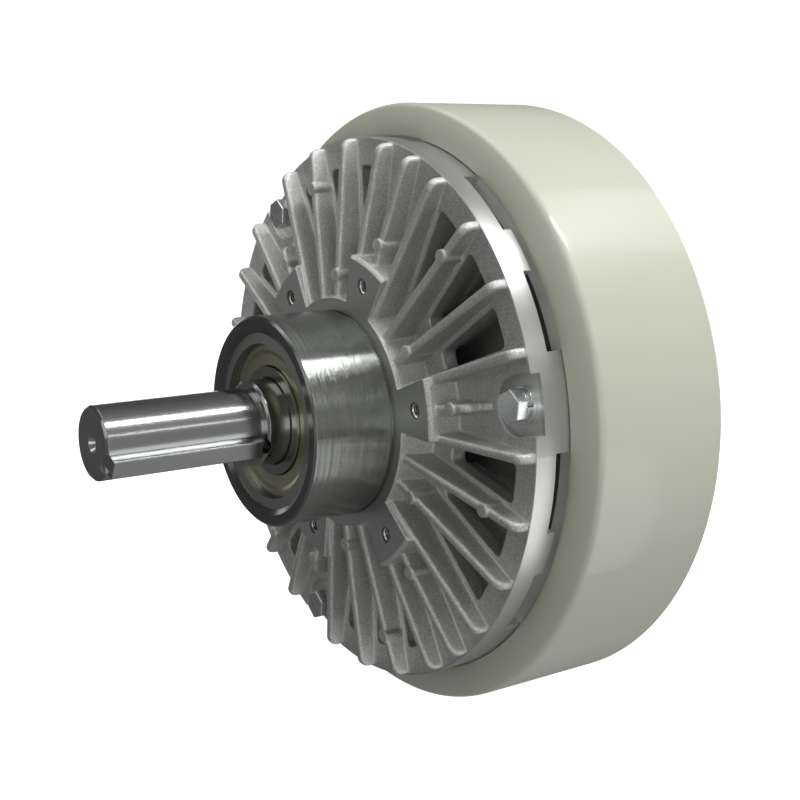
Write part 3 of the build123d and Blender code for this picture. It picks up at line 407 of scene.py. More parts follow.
@dataclass(frozen=True)
class CastAluminium(Finish):
    """Blasted casting, machined smooth at given stations and on one turned radius, with painted light and
    shade in some of its colours.
    """

    machined: Tuple[float, ...] = ()
    machined_half: float = 0.04
    turned_r: float = 200.0
    turned_fade: Span = (0.12, 0.05)
    # The rim's radii and the seats' stations also set where the machined faces take painted light and
    # shade.
    rim_r: Span = (96.0, 97.0)
    seat_station: Span = (5.0, 10.0)
    taps_r: float = 0.0
    taps_phase: float = 0.0
    tap_mouth_r: float = 3.0
    tap_fade: float = 0.2
    pale: Colour = (0.86, 0.865, 0.845)
    dull: Colour = (0.38, 0.385, 0.37)
    # Colour of the edges: partly worn metal, partly painted highlight where crests catch the light.
    worn_edge_and_highlight: Colour = (0.90, 0.90, 0.87)
    # Lit and shaded tones of one machined finish: darker on the front pads, paler on the pocket seats as
    # painted light.
    cut: Colour = (0.46, 0.47, 0.455)
    seat: Colour = (0.78, 0.79, 0.77)
    # Painted shade: a dark grey inside the tapped bores, where the holes lie in shadow.
    tap_painted_shade: Colour = (0.26, 0.26, 0.25)
    blotch: Grain = Grain(0.09, 3.0, 0.6)
    blotch_share: float = 0.25
    sand: Grain = Grain(0.9, 5.0, 0.8)
    sand_share: float = 0.25
    speckle: Grain = Grain(1.7, 2.0, 0.7)
    speckle_rise: Span = (0.30, 0.70)
    speckle_share: float = 0.5
    edge_mm: float = 1.4
    edge_rise: Span = (0.02, 0.25)
    edge_wear_and_highlight_share: float = 0.5
    edge_polish: float = 0.12
    rim_painted_shade: float = 0.6
    rim_polish: float = 0.16
    cast_rough: Span = (0.42, 0.62)
    cut_rough: Span = (0.40, 0.54)
    rings_per_mm: float = 3.0
    ring_share: float = 0.12
    relief_mm: float = 0.34
    relief_share: float = 0.9

    def surface(self, sheet: PaintSheet) -> Dict[str, Term]:
        """Grainy casting with edges lightened, partly by wear and partly as painted highlight, machined
        faces in lit and shaded tones, and painted shade in the tapped bores.

        Args:
            sheet: The material's sheet.

        Returns:
            Socket name to value or link.
        """
        soft = sheet.soft_edges(self.edge_mm)
        edge = sheet.rise(sheet.edge_share(soft), *self.edge_rise)
        sand = sheet.noise(self.sand)
        marks = sheet.rings(self.rings_per_mm)
        taps = self.taps(sheet)
        smooth = self.machining(sheet).largest(taps)
        crisp = sheet.add("ShaderNodeNewGeometry", output="Normal")
        settled = sheet.between(smooth, soft, crisp)
        skin = sheet.noise(self.blotch) * self.blotch_share + sand * self.sand_share
        speckle = sheet.rise(sheet.noise(self.speckle), *self.speckle_rise)
        cast = sheet.blend(skin + speckle * self.speckle_share, self.dull, self.pale)
        # Edges are lightened, partly as wear and partly as painted highlight on the crests and roots.
        cast = sheet.blend(edge * self.edge_wear_and_highlight_share, cast, self.worn_edge_and_highlight)
        # Painted light and shade: pocket seats take the pale tone, the turned rim is dimmed towards the
        # dark one as painted shade.
        rim = sheet.rise(sheet.radius, *self.rim_r)
        seated = sheet.rise(sheet.station, *self.seat_station) * (1.0 - rim * self.rim_painted_shade)
        cut = sheet.blend(seated, self.cut, self.seat)
        cast_rough = sheet.span(sand, *self.cast_rough) - edge * self.edge_polish
        cut_rough = sheet.span(marks, *self.cut_rough) - rim * self.rim_polish
        height = sand * (1.0 - smooth) + marks * smooth * self.ring_share
        return {
            # Inside the tapped bores the machined tone gives way to the painted shade.
            "Base Color": sheet.blend(smooth, cast, sheet.blend(taps, cut, self.tap_painted_shade)),
            "Metallic": 1.0,
            "Roughness": cast_rough * (1.0 - smooth) + cut_rough * smooth,
            "Normal": sheet.relief(height, self.relief_mm, self.relief_share, settled),
        }

    def machining(self, sheet: PaintSheet) -> Sock:
        """Mask of the faces that a tool has cut.

        Args:
            sheet: The material's sheet.

        Returns:
            1 on the machined stations and outside the turned radius, else 0.
        """
        start, end = self.turned_fade
        smooth = sheet.rise(sheet.radius, self.turned_r - start, self.turned_r - end)
        for station in self.machined:
            smooth = smooth.largest(sheet.near(sheet.station, station, self.machined_half))
        return smooth

    def taps(self, sheet: PaintSheet) -> Sock:
        """Mask of the tapped bores, folded onto one of them.

        Args:
            sheet: The material's sheet.

        Returns:
            1 inside the bores, else 0.
        """
        turn = sheet.add("ShaderNodeMath", {"operation": "ARCTAN2"}, {0: sheet.height, 1: sheet.across})
        turn = turn - math.radians(self.taps_phase)
        fold = sheet.add("ShaderNodeMath", {"operation": "PINGPONG"}, {0: turn, 1: math.pi / TAP_COUNT})
        along = sheet.add("ShaderNodeMath", {"operation": "COSINE"}, {0: fold})
        squares = sheet.radius * sheet.radius + self.taps_r ** 2
        gap = squares - sheet.radius * along * (2.0 * self.taps_r)
        mouth = self.tap_mouth_r ** 2
        return 1.0 - sheet.rise(gap, mouth - self.tap_fade, mouth)


@dataclass(frozen=True)
class TurnedMetal(Finish):
    """Metal with the fine rings that a lathe or a grinder leaves, with painted shade on its ends square to
    the shaft where asked for.
    """

    pale: Colour = (0.52, 0.53, 0.51)
    dark: Colour = (0.36, 0.37, 0.36)
    rings_per_mm: float = 2.5
    ring_depth: float = 0.012
    ring_share: float = 0.8
    smoothest: float = 0.20
    roughest: float = 0.36
    edge_mm: float = 0.25
    # Share of painted shade on ends square to the shaft, and how dark that shade is.
    painted_end_shade: float = 0.0
    end_shade_tone: float = 0.7
    band_ratio: float = 0.12
    band_detail: float = 2.0
    smear: Grain = Grain(0.07, 4.0, 0.6)
    mark_tone: float = 0.6
    band_tone: float = 0.2
    smear_tone: float = 0.2
    smear_gloss: float = 0.5

    def surface(self, sheet: PaintSheet) -> Dict[str, Term]:
        """Rings, slow bands and a few handling smears; ends square to the shaft get calmer relief and
        painted shade, a darker tone.

        Args:
            sheet: The material's sheet.

        Returns:
            Socket name to value or link.
        """
        soft = sheet.soft_edges(self.edge_mm)
        marks = sheet.rings(self.rings_per_mm)
        bands = sheet.rings(self.rings_per_mm * self.band_ratio, self.band_detail)
        smear = sheet.noise(self.smear)
        tone = marks * self.mark_tone + bands * self.band_tone + smear * self.smear_tone
        gloss = marks * (1.0 - self.smear_gloss) + smear * self.smear_gloss
        # Painted shade: faces square to the shaft take a darker tone because of the way they face.
        end_shade_and_calm = sheet.flat * self.painted_end_shade
        painted_end_shade = tuple(share * self.end_shade_tone for share in self.dark)
        return {
            "Base Color": sheet.blend(end_shade_and_calm, sheet.blend(tone, self.dark, self.pale), painted_end_shade),
            "Metallic": 1.0,
            "Roughness": sheet.span(gloss, self.smoothest, self.roughest),
            "Normal": sheet.relief(marks * (1.0 - end_shade_and_calm), self.ring_depth, self.ring_share, soft),
        }


@dataclass(frozen=True)
class PlatedSteel(Finish):
    """Bright plated or blackened sheet and bolts with slight mottling."""

    pale: Colour = (0.88, 0.90, 0.89)
    dark: Colour = (0.64, 0.67, 0.66)
    smoothest: float = 0.14
    roughest: float = 0.30
    edge_mm: float = 0.45
    mottle: Grain = Grain(0.7, 4.0, 0.6)
    scuff: Grain = Grain(3.5)
    mottle_gloss: float = 0.6
    scuff_gloss: float = 0.4
    relief_mm: float = 0.01
    relief_share: float = 0.6

    def surface(self, sheet: PaintSheet) -> Dict[str, Term]:
        """Mottled plating over softened edges.

        Args:
            sheet: The material's sheet.

        Returns:
            Socket name to value or link.
        """
        soft = sheet.soft_edges(self.edge_mm)
        mottle = sheet.noise(self.mottle)
        scuff = sheet.noise(self.scuff)
        gloss = mottle * self.mottle_gloss + scuff * self.scuff_gloss
        return {
            "Base Color": sheet.blend(mottle, self.dark, self.pale),
            "Metallic": 1.0,
            "Roughness": sheet.span(gloss, self.smoothest, self.roughest),
            "Normal": sheet.relief(scuff, self.relief_mm, self.relief_share, soft),
        }


@dataclass(frozen=True)
class GrainyMatter(Finish):
    """Plastic, felt, powder or enamelled wire: a dull surface with its own grain."""

    pale: Colour = (0.1, 0.1, 0.1)
    dark: Colour = (0.05, 0.05, 0.05)
    per_mm: float = 2.0
    depth_mm: float = 0.05
    depth_share: float = 0.8
    roughness: float = 0.6
    spread: float = 0.08
    metallic: float = 0.0
    detail: float = 4.0
    grain_rough: float = 0.6

    def surface(self, sheet: PaintSheet) -> Dict[str, Term]:
        """Grain in colour, gloss and relief.

        Args:
            sheet: The material's sheet.

        Returns:
            Socket name to value or link.
        """
        grain = sheet.noise(Grain(self.per_mm, self.detail, self.grain_rough))
        return {
            "Base Color": sheet.blend(grain, self.dark, self.pale),
            "Metallic": self.metallic,
            "Roughness": sheet.span(grain, self.roughness - self.spread, self.roughness + self.spread),
            "Normal": sheet.relief(grain, self.depth_mm, self.depth_share),
        }


class Finishes(Enum):
    """Every finish on the brake."""

    YOKE = YokeEnamel("grey_green_enamel", "yoke_paint")
    FRONT_CASTING = CastAluminium(
        "front_casting", "cast_aluminium", machined=(0.0, 15.5), turned_r=98.0,
        taps_r=TAP_CIRCLE_R, taps_phase=TAP_PHASE,
    )
    REAR_CASTING = CastAluminium("rear_casting", "cast_aluminium", machined=(85.0, 98.0))
    # The hub's ends square to the shaft take painted shade.
    HUB = TurnedMetal(
        "turned_hub", "turned_steel", pale=(0.34, 0.35, 0.33), dark=(0.26, 0.27, 0.26),
        rings_per_mm=6.0, ring_depth=0.12, smoothest=0.12, roughest=0.20, painted_end_shade=0.85,
    )
    TAPPED = TurnedMetal(
        "tapped_aluminium", "cast_aluminium", pale=(0.86, 0.87, 0.85), dark=(0.66, 0.67, 0.65),
        rings_per_mm=2.0, ring_depth=0.005, smoothest=0.22, roughest=0.34, edge_mm=0.04,
    )
    DRUM = TurnedMetal("turned_drum", "turned_steel", rings_per_mm=1.5, smoothest=0.3, roughest=0.5)
    SHAFT = TurnedMetal(
        "ground_shaft", "ground_steel", pale=(0.42, 0.43, 0.42), dark=(0.30, 0.31, 0.30),
        rings_per_mm=4.0, ring_depth=0.006, smoothest=0.13, roughest=0.23,
    )
    RACE = TurnedMetal(
        "bearing_race", "bearing_steel", pale=(0.40, 0.40, 0.38), dark=(0.26, 0.26, 0.25),
        rings_per_mm=5.0, ring_depth=0.004, smoothest=0.14, roughest=0.24,
    )
    SHIELD = TurnedMetal(
        "oiled_shield", "bearing_shield", pale=(0.52, 0.51, 0.38), dark=(0.34, 0.34, 0.25),
        rings_per_mm=2.0, ring_depth=0.010, smoothest=0.24, roughest=0.40,
    )
    LABYRINTH = TurnedMetal(
        "turned_aluminium", "turned_aluminium", pale=(0.74, 0.74, 0.75), dark=(0.6, 0.6, 0.6)
    )
    BRASS = TurnedMetal(
        "turned_brass", "non_magnetic_brass", pale=(0.72, 0.58, 0.30), dark=(0.55, 0.42, 0.2)
    )
    PRESSING = PlatedSteel("pressed_sheet", "pressed_steel", pale=(0.6, 0.6, 0.6), dark=(0.4, 0.4, 0.4))
    SPRING = PlatedSteel("spring_steel", "spring_steel", pale=(0.26, 0.26, 0.25), dark=(0.14, 0.14, 0.14))
    PHOSPHATE = PlatedSteel(
        "phosphated_steel", "turned_steel", pale=(0.42, 0.42, 0.41), dark=(0.28, 0.28, 0.27),
        smoothest=0.45, roughest=0.6,
    )
    ZINC = PlatedSteel("bright_zinc", "zinc_plate")
    FELT = GrainyMatter(
        "pressed_felt", "seal_felt", pale=(0.52, 0.50, 0.42), dark=(0.30, 0.28, 0.22),
        per_mm=1.5, depth_mm=0.25, roughness=0.9,
    )
    WINDING = GrainyMatter(
        "enamelled_wire", "coil_winding", pale=(0.60, 0.28, 0.12), dark=(0.36, 0.15, 0.06),
        per_mm=1.2, depth_mm=0.1, roughness=0.35, metallic=0.6,
    )
    BOBBIN = GrainyMatter(
        "bobbin_moulding", "bobbin_plastic", pale=(0.72, 0.68, 0.56), dark=(0.6, 0.56, 0.44),
        per_mm=1.0, depth_mm=0.03, roughness=0.5,
    )
    BLOCK = GrainyMatter(
        "phenolic_moulding", "block_plastic", pale=(0.035, 0.034, 0.032), dark=(0.018, 0.018, 0.017),
        per_mm=1.4, depth_mm=0.05, roughness=0.45,
    )
    POWDER = GrainyMatter(
        "iron_powder", "iron_powder", pale=(0.22, 0.22, 0.22), dark=(0.08, 0.08, 0.08),
        per_mm=6.0, depth_mm=0.1, roughness=0.8, metallic=0.5,
    )


def dress(finish: Finishes, *nodes: str) -> None:
    """Give solids of the frame a finish.

    Args:
        finish: The finish.
        nodes: Names of the solids.
    """
    for node in nodes:
        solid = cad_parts[node]
        solid.data.materials.clear()
        solid.data.materials.append(finish.value.material())


class Pattern:
    """A Geometry Nodes tree with named inputs whose result becomes a plain mesh."""

    title: str = "pattern"
    inputs: Tuple[Tuple[str, str], ...] = ()

    def grow(self, sheet: Sheet, given: Mapping[str, Sock]) -> Sock:
        """Nodes between the inputs and the finished geometry.

        Args:
            sheet: The tree's sheet.
            given: The named inputs, with the base geometry under Geometry.

        Returns:
            The geometry.
        """
        raise NotImplementedError

    def tree(self, material: bpy.types.Material) -> bpy.types.NodeTree:
        """Build the whole tree.

        Args:
            material: Material of the result.

        Returns:
            The node tree.
        """
        tree = bpy.data.node_groups.new(self.title, "GeometryNodeTree")
        tree.interface.new_socket("Geometry", in_out="INPUT", socket_type="NodeSocketGeometry")
        for name, kind in self.inputs:
            tree.interface.new_socket(name, in_out="INPUT", socket_type=kind)
        tree.interface.new_socket("Geometry", in_out="OUTPUT", socket_type="NodeSocketGeometry")
        sheet = Sheet(tree)
        entry = sheet.add("NodeGroupInput")
        names = ["Geometry"] + [name for name, _ in self.inputs]
        grown = self.grow(sheet, {name: entry.out(name) for name in names})
        plain = sheet.add("GeometryNodeRealizeInstances", {}, {"Geometry": grown})
        painted = sheet.add("GeometryNodeSetMaterial", {}, {"Geometry": plain, "Material": material})
        sheet.add("NodeGroupOutput", {}, {"Geometry": painted})
        return tree

    def cast(
        self,
        name: str,
        body: str,
        finish: Finishes,
        values: Mapping[str, Union[float, int]],
        base: Optional[bpy.types.Mesh] = None,
    ) -> bpy.types.Object:
        """Turn the tree's result into a piece that rides on a body.

        Args:
            name: Name of the piece.
            body: Body that it rides on.
            finish: Its finish.
            values: The named inputs.
            base: Mesh that the tree starts from.

        Returns:
            The piece.
        """
        tree = self.tree(finish.value.material())
        mould = bpy.data.objects.new(name + ".mould", base or bpy.data.meshes.new(name + ".mould"))
        bpy.context.scene.collection.objects.link(mould)
        modifier = mould.modifiers.new(self.title, "NODES")
        modifier.node_group = tree
        for item in tree.interface.items_tree:
            if item.in_out == "INPUT" and item.name in values:
                modifier[item.identifier] = values[item.name]
        shown = mould.evaluated_get(bpy.context.evaluated_depsgraph_get())
        mesh = bpy.data.meshes.new_from_object(shown)
        mould.modifiers.clear()
        bpy.data.objects.remove(mould)
        mesh.name = name
        piece = bpy.data.objects.new(name, mesh)
        bpy.context.scene.collection.objects.link(piece)
        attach(piece, body)
        return piece


class Lathe(Pattern):
    """Revolves a closed outline, given as a mesh of edges with X for radius and Y for station."""

    title: str = "lathe"
    inputs: Tuple[Tuple[str, str], ...] = (
        ("Segments", "NodeSocketInt"),
        ("Path radius", "NodeSocketFloat"),
        ("Crease", "NodeSocketFloat"),
    )

    def grow(self, sheet: Sheet, given: Mapping[str, Sock]) -> Sock:
        """Sweep the outline along a circle about the shaft's axis and crease its sharp corners.

        Args:
            sheet: The tree's sheet.
            given: The named inputs, with the outline under Geometry.

        Returns:
            The revolved shell.
        """
        outline = sheet.add("GeometryNodeMeshToCurve", {}, {"Mesh": given["Geometry"]})
        circle = sheet.add(
            "GeometryNodeCurvePrimitiveCircle", {},
            {"Resolution": given["Segments"], "Radius": given["Path radius"]},
        )
        body = sheet.add("GeometryNodeCurveToMesh", {}, {"Curve": circle, "Profile Curve": outline})
        upright = sheet.add("GeometryNodeTransform", {}, {"Geometry": body, "Rotation": UPRIGHT})
        angle = sheet.add("GeometryNodeInputMeshEdgeAngle", output="Unsigned Angle")
        shallow = sheet.add(
            "FunctionNodeCompare", {"data_type": "FLOAT", "operation": "LESS_THAN"},
            {0: angle, 1: given["Crease"]},
        )
        faces = sheet.add("GeometryNodeSetShadeSmooth", {"domain": "FACE"}, {"Geometry": upright})
        return sheet.add(
            "GeometryNodeSetShadeSmooth", {"domain": "EDGE"}, {"Geometry": faces, "Shade Smooth": shallow}
        )


class ThreadCoils(Pattern):
    """Thread ridges in a circle of tapped holes."""

    title: str = "thread_coils"
    inputs: Tuple[Tuple[str, str], ...] = (
        ("Count", "NodeSocketInt"),
        ("Circle radius", "NodeSocketFloat"),
        ("Phase", "NodeSocketFloat"),
        ("Hole radius", "NodeSocketFloat"),
        ("Ridge", "NodeSocketFloat"),
        ("Turns", "NodeSocketFloat"),
        ("Length", "NodeSocketFloat"),
        ("Start", "NodeSocketFloat"),
    )
    steps_per_turn: int = 40
    ridge_sides: int = 3

    def grow(self, sheet: Sheet, given: Mapping[str, Sock]) -> Sock:
        """One coil of triangular section, set on every hole of the circle.

        Args:
            sheet: The tree's sheet.
            given: The named inputs.

        Returns:
            The coils, as instances.
        """
        spiral = {
            "Resolution": self.steps_per_turn,
            "Rotations": given["Turns"],
            "Start Radius": given["Hole radius"],
            "End Radius": given["Hole radius"],
            "Height": given["Length"],
        }
        coil = sheet.add("GeometryNodeCurveSpiral", {}, spiral)
        sides = {"Resolution": self.ridge_sides, "Radius": given["Ridge"]}
        section = sheet.add("GeometryNodeCurvePrimitiveCircle", {}, sides)
        swept = {"Curve": coil, "Profile Curve": section, "Fill Caps": True}
        ridge = sheet.add("GeometryNodeCurveToMesh", {}, swept)
        faceted = {"Geometry": ridge, "Shade Smooth": False}
        crisp = sheet.add("GeometryNodeSetShadeSmooth", {"domain": "FACE"}, faceted)
        drop = sheet.add("ShaderNodeCombineXYZ", {}, {"Z": 0.0 - given["Start"] - given["Length"]})
        seated = sheet.add("GeometryNodeTransform", {}, {"Geometry": crisp, "Translation": drop})
        spots = {"Vertices": given["Count"], "Radius": given["Circle radius"]}
        circle = sheet.add("GeometryNodeMeshCircle", {}, spots)
        holes = sheet.add("GeometryNodeInstanceOnPoints", {}, {"Points": circle, "Instance": seated})
        turn = sheet.add("ShaderNodeCombineXYZ", {}, {"Z": given["Phase"]})
        phased = sheet.add("GeometryNodeTransform", {}, {"Geometry": holes, "Rotation": turn})
        return sheet.add("GeometryNodeTransform", {}, {"Geometry": phased, "Rotation": UPRIGHT})


def outline_mesh(name: str, points: Sequence[Point], path_radius: float) -> bpy.types.Mesh:
    """Closed outline as a mesh of edges for the lathe.

    Args:
        name: Name of the mesh.
        points: Radius and station of each corner, in millimetres.
        path_radius: Radius of the lathe's path, in millimetres.

    Returns:
        The mesh, in metres.
    """
    mesh = bpy.data.meshes.new(name)
    corners = [((radius - path_radius) * MM, station * MM, 0.0) for radius, station in points]
    edges = [(index, (index + 1) % len(corners)) for index in range(len(corners))]
    mesh.from_pydata(corners, edges, [])
    return mesh


def rounded(corner: Point, start: Point, end: Point, radius: float, steps: int) -> List[Point]:
    """Points of a quarter round between two edges that meet square.

    Args:
        corner: The sharp corner.
        start: Unit direction from the corner back along the edge that comes in.
        end: Unit direction from the corner along the edge that goes out.
        radius: Radius of the round.
        steps: Number of steps.

    Returns:
        The points in order.
    """
    points = []
    for step in range(steps + 1):
        turn = QUARTER_TURN * step / steps
        along_in = radius * (1.0 - math.sin(turn))
        along_out = radius * (1.0 - math.cos(turn))
        points.append((
            corner[0] + start[0] * along_in + end[0] * along_out,
            corner[1] + start[1] * along_in + end[1] * along_out,
        ))
    return points


@dataclass
class Yoke:
    """Painted yoke with the turned ring in its mouth."""

    outer_r: float = 110.0
    front: float = 25.3
    back: float = 82.5
    front_round: float = 3.0
    crown_tilt: float = 26.0
    back_round: float = 3.0
    mouth_r: float = 98.2
    seat: float = 26.6
    recess_r: float = RECESS_R
    floor: float = 29.6
    bore_r: float = 73.5
    chamber_r: float = 95.0
    chamber_front: float = 42.0
    tip_r: float = 79.0
    tip_back: float = 49.0
    edge: float = 0.4
    edge_steps: int = 3
    crown_steps: int = 12
    back_steps: int = 10
    segments: int = 192
    crease: float = 28.0

    def front_face(self) -> List[Point]:
        """Crowned front face and the small round at its outer edge.

        Returns:
            Radius and station of its corners, from the mouth outwards.
        """
        tilt = math.radians(self.crown_tilt)
        start_r = self.mouth_r + self.edge
        round_r = self.outer_r - self.front_round
        crown = (round_r + self.front_round * math.sin(tilt) - start_r) / math.sin(tilt)
        points = []
        for step in range(1, self.crown_steps + 1):
            turn = tilt * step / self.crown_steps
            sunk = crown * (1.0 - math.cos(turn))
            points.append((start_r + crown * math.sin(turn), self.front + sunk))
        round_y = points[-1][1] + self.front_round * math.cos(tilt)
        for step in range(1, self.crown_steps + 1):
            turn = tilt + (QUARTER_TURN - tilt) * step / self.crown_steps
            radius = round_r + self.front_round * math.sin(turn)
            points.append((radius, round_y - self.front_round * math.cos(turn)))
        return points

    def outline(self) -> List[Point]:
        """Corners of the yoke's section, with its rounds.

        Returns:
            Radius and station of each corner.
        """
        points: List[Point] = [(self.bore_r, self.floor), (self.recess_r, self.floor)]
        points += [(self.recess_r, self.seat), (self.mouth_r, self.seat)]
        points += rounded((self.mouth_r, self.front), (0.0, 1.0), (1.0, 0.0), self.edge, self.edge_steps)
        points += self.front_face()
        back = (self.outer_r, self.back)
        points += rounded(back, (0.0, -1.0), (-1.0, 0.0), self.back_round, self.back_steps)
        points += [(self.chamber_r, self.back), (self.chamber_r, self.chamber_front)]
        points += [(self.tip_r, self.chamber_front), (self.tip_r, self.tip_back)]
        points += [(self.bore_r, self.tip_back)]
        return points

    def build(self) -> None:
        """Turn the yoke's shell in place of its solid."""
        path_radius = self.chamber_r
        base = outline_mesh("yoke_outline", self.outline(), path_radius)
        values = {
            "Segments": self.segments,
            "Path radius": path_radius * MM,
            "Crease": math.radians(self.crease),
        }
        shell = Lathe().cast("yoke_shell", "housing", Finishes.YOKE, values, base)
        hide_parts("yoke_body")
        LOG.info("yoke shell: %d faces", len(shell.data.polygons))


@dataclass
class FrontBracket:
    """Finned casting with its tapped pads and its bolts."""

    hole_count: int = TAP_COUNT
    circle_r: float = TAP_CIRCLE_R
    phase: float = TAP_PHASE
    hole_r: float = 2.55
    ridge: float = 0.42
    pitch: float = 1.0
    thread_start: float = 0.7
    thread_length: float = 12.0

    def build(self) -> None:
        """Dress the casting and its bolts, and set the thread ridges in its taps."""
        dress(Finishes.FRONT_CASTING, "front_bracket")
        dress(Finishes.ZINC, "front_bracket_bolts")
        dress(Finishes.ZINC, "front_bracket_flat_washers", "front_bracket_spring_washers")
        values = {
            "Count": self.hole_count,
            "Circle radius": self.circle_r * MM,
            "Phase": math.radians(self.phase),
            "Hole radius": self.hole_r * MM,
            "Ridge": self.ridge * MM,
            "Turns": self.thread_length / self.pitch,
            "Length": self.thread_length * MM,
            "Start": self.thread_start * MM,
        }
        threads = ThreadCoils().cast("tapped_threads", "housing", Finishes.TAPPED, values)
        LOG.info("front bracket: %d thread faces", len(threads.data.polygons))


@dataclass
class PilotHub:
    """Turned hub with the front bearing and what holds and seals it."""

    def build(self) -> None:
        """Dress the hub and the bearing."""
        dress(Finishes.HUB, "bearing_sleeve")
        dress(Finishes.RACE, "front_bearing_outer_ring", "front_bearing_inner_ring", "front_bearing_balls")
        dress(Finishes.SHIELD, "front_bearing_shields")
        dress(Finishes.PRESSING, "front_bearing_cage")
        dress(Finishes.SPRING, "front_circlip")
        dress(Finishes.FELT, "front_felt_seal")
        dress(Finishes.LABYRINTH, "front_labyrinth_ring")
        LOG.info("pilot hub dressed")


@dataclass
class Rotor:
    """Shaft, keys and drum."""

    def build(self) -> None:
        """Dress the turning pieces."""
        dress(Finishes.SHAFT, "shaft", "shaft_key", "rotor_key")
        dress(Finishes.DRUM, "rotor_drum")
        dress(Finishes.SPRING, "rotor_circlip", "rear_shaft_circlip")
        LOG.info("rotor dressed")


@dataclass
class Magnet:
    """Coil, pole ring and powder chamber."""

    def build(self) -> None:
        """Dress the hidden magnetic circuit."""
        dress(Finishes.DRUM, "rear_pole_ring")
        dress(Finishes.PHOSPHATE, "front_chamber_plate")
        dress(Finishes.BRASS, "flux_barrier_ring")
        dress(Finishes.WINDING, "field_coil", "coil_leads")
        dress(Finishes.BOBBIN, "coil_bobbin")
        dress(Finishes.POWDER, "magnetic_powder")
        dress(Finishes.ZINC, "chamber_plate_screws")
        LOG.info("magnetic circuit dressed")


@dataclass
class RearEnd:
    """Rear casting with its bearing, cover, bolts and terminals."""

    def build(self) -> None:
        """Dress the back of the brake."""
        dress(Finishes.REAR_CASTING, "rear_bracket")
        dress(Finishes.HUB, "rear_cover")
        dress(Finishes.RACE, "rear_bearing_outer_ring", "rear_bearing_inner_ring", "rear_bearing_balls")
        dress(Finishes.SHIELD, "rear_bearing_shields")
        dress(Finishes.PRESSING, "rear_bearing_cage", "preload_washer")
        dress(Finishes.FELT, "rear_felt_seal")
        dress(Finishes.BLOCK, "terminal_block")
        dress(Finishes.ZINC, "rear_bracket_bolts")
        dress(Finishes.ZINC, "rear_bracket_flat_washers", "rear_bracket_spring_washers")
        dress(Finishes.ZINC, "rear_cover_screws", "terminal_block_screws", "terminal_screws")
        LOG.info("rear end dressed")


@dataclass(frozen=True)
class Lamp:
    """A rectangular soft light, in metres and watts."""

    name: str
    place: Place
    width: float
    length: float
    watts: float
    target: Place = (0.0, 0.0, 0.0)


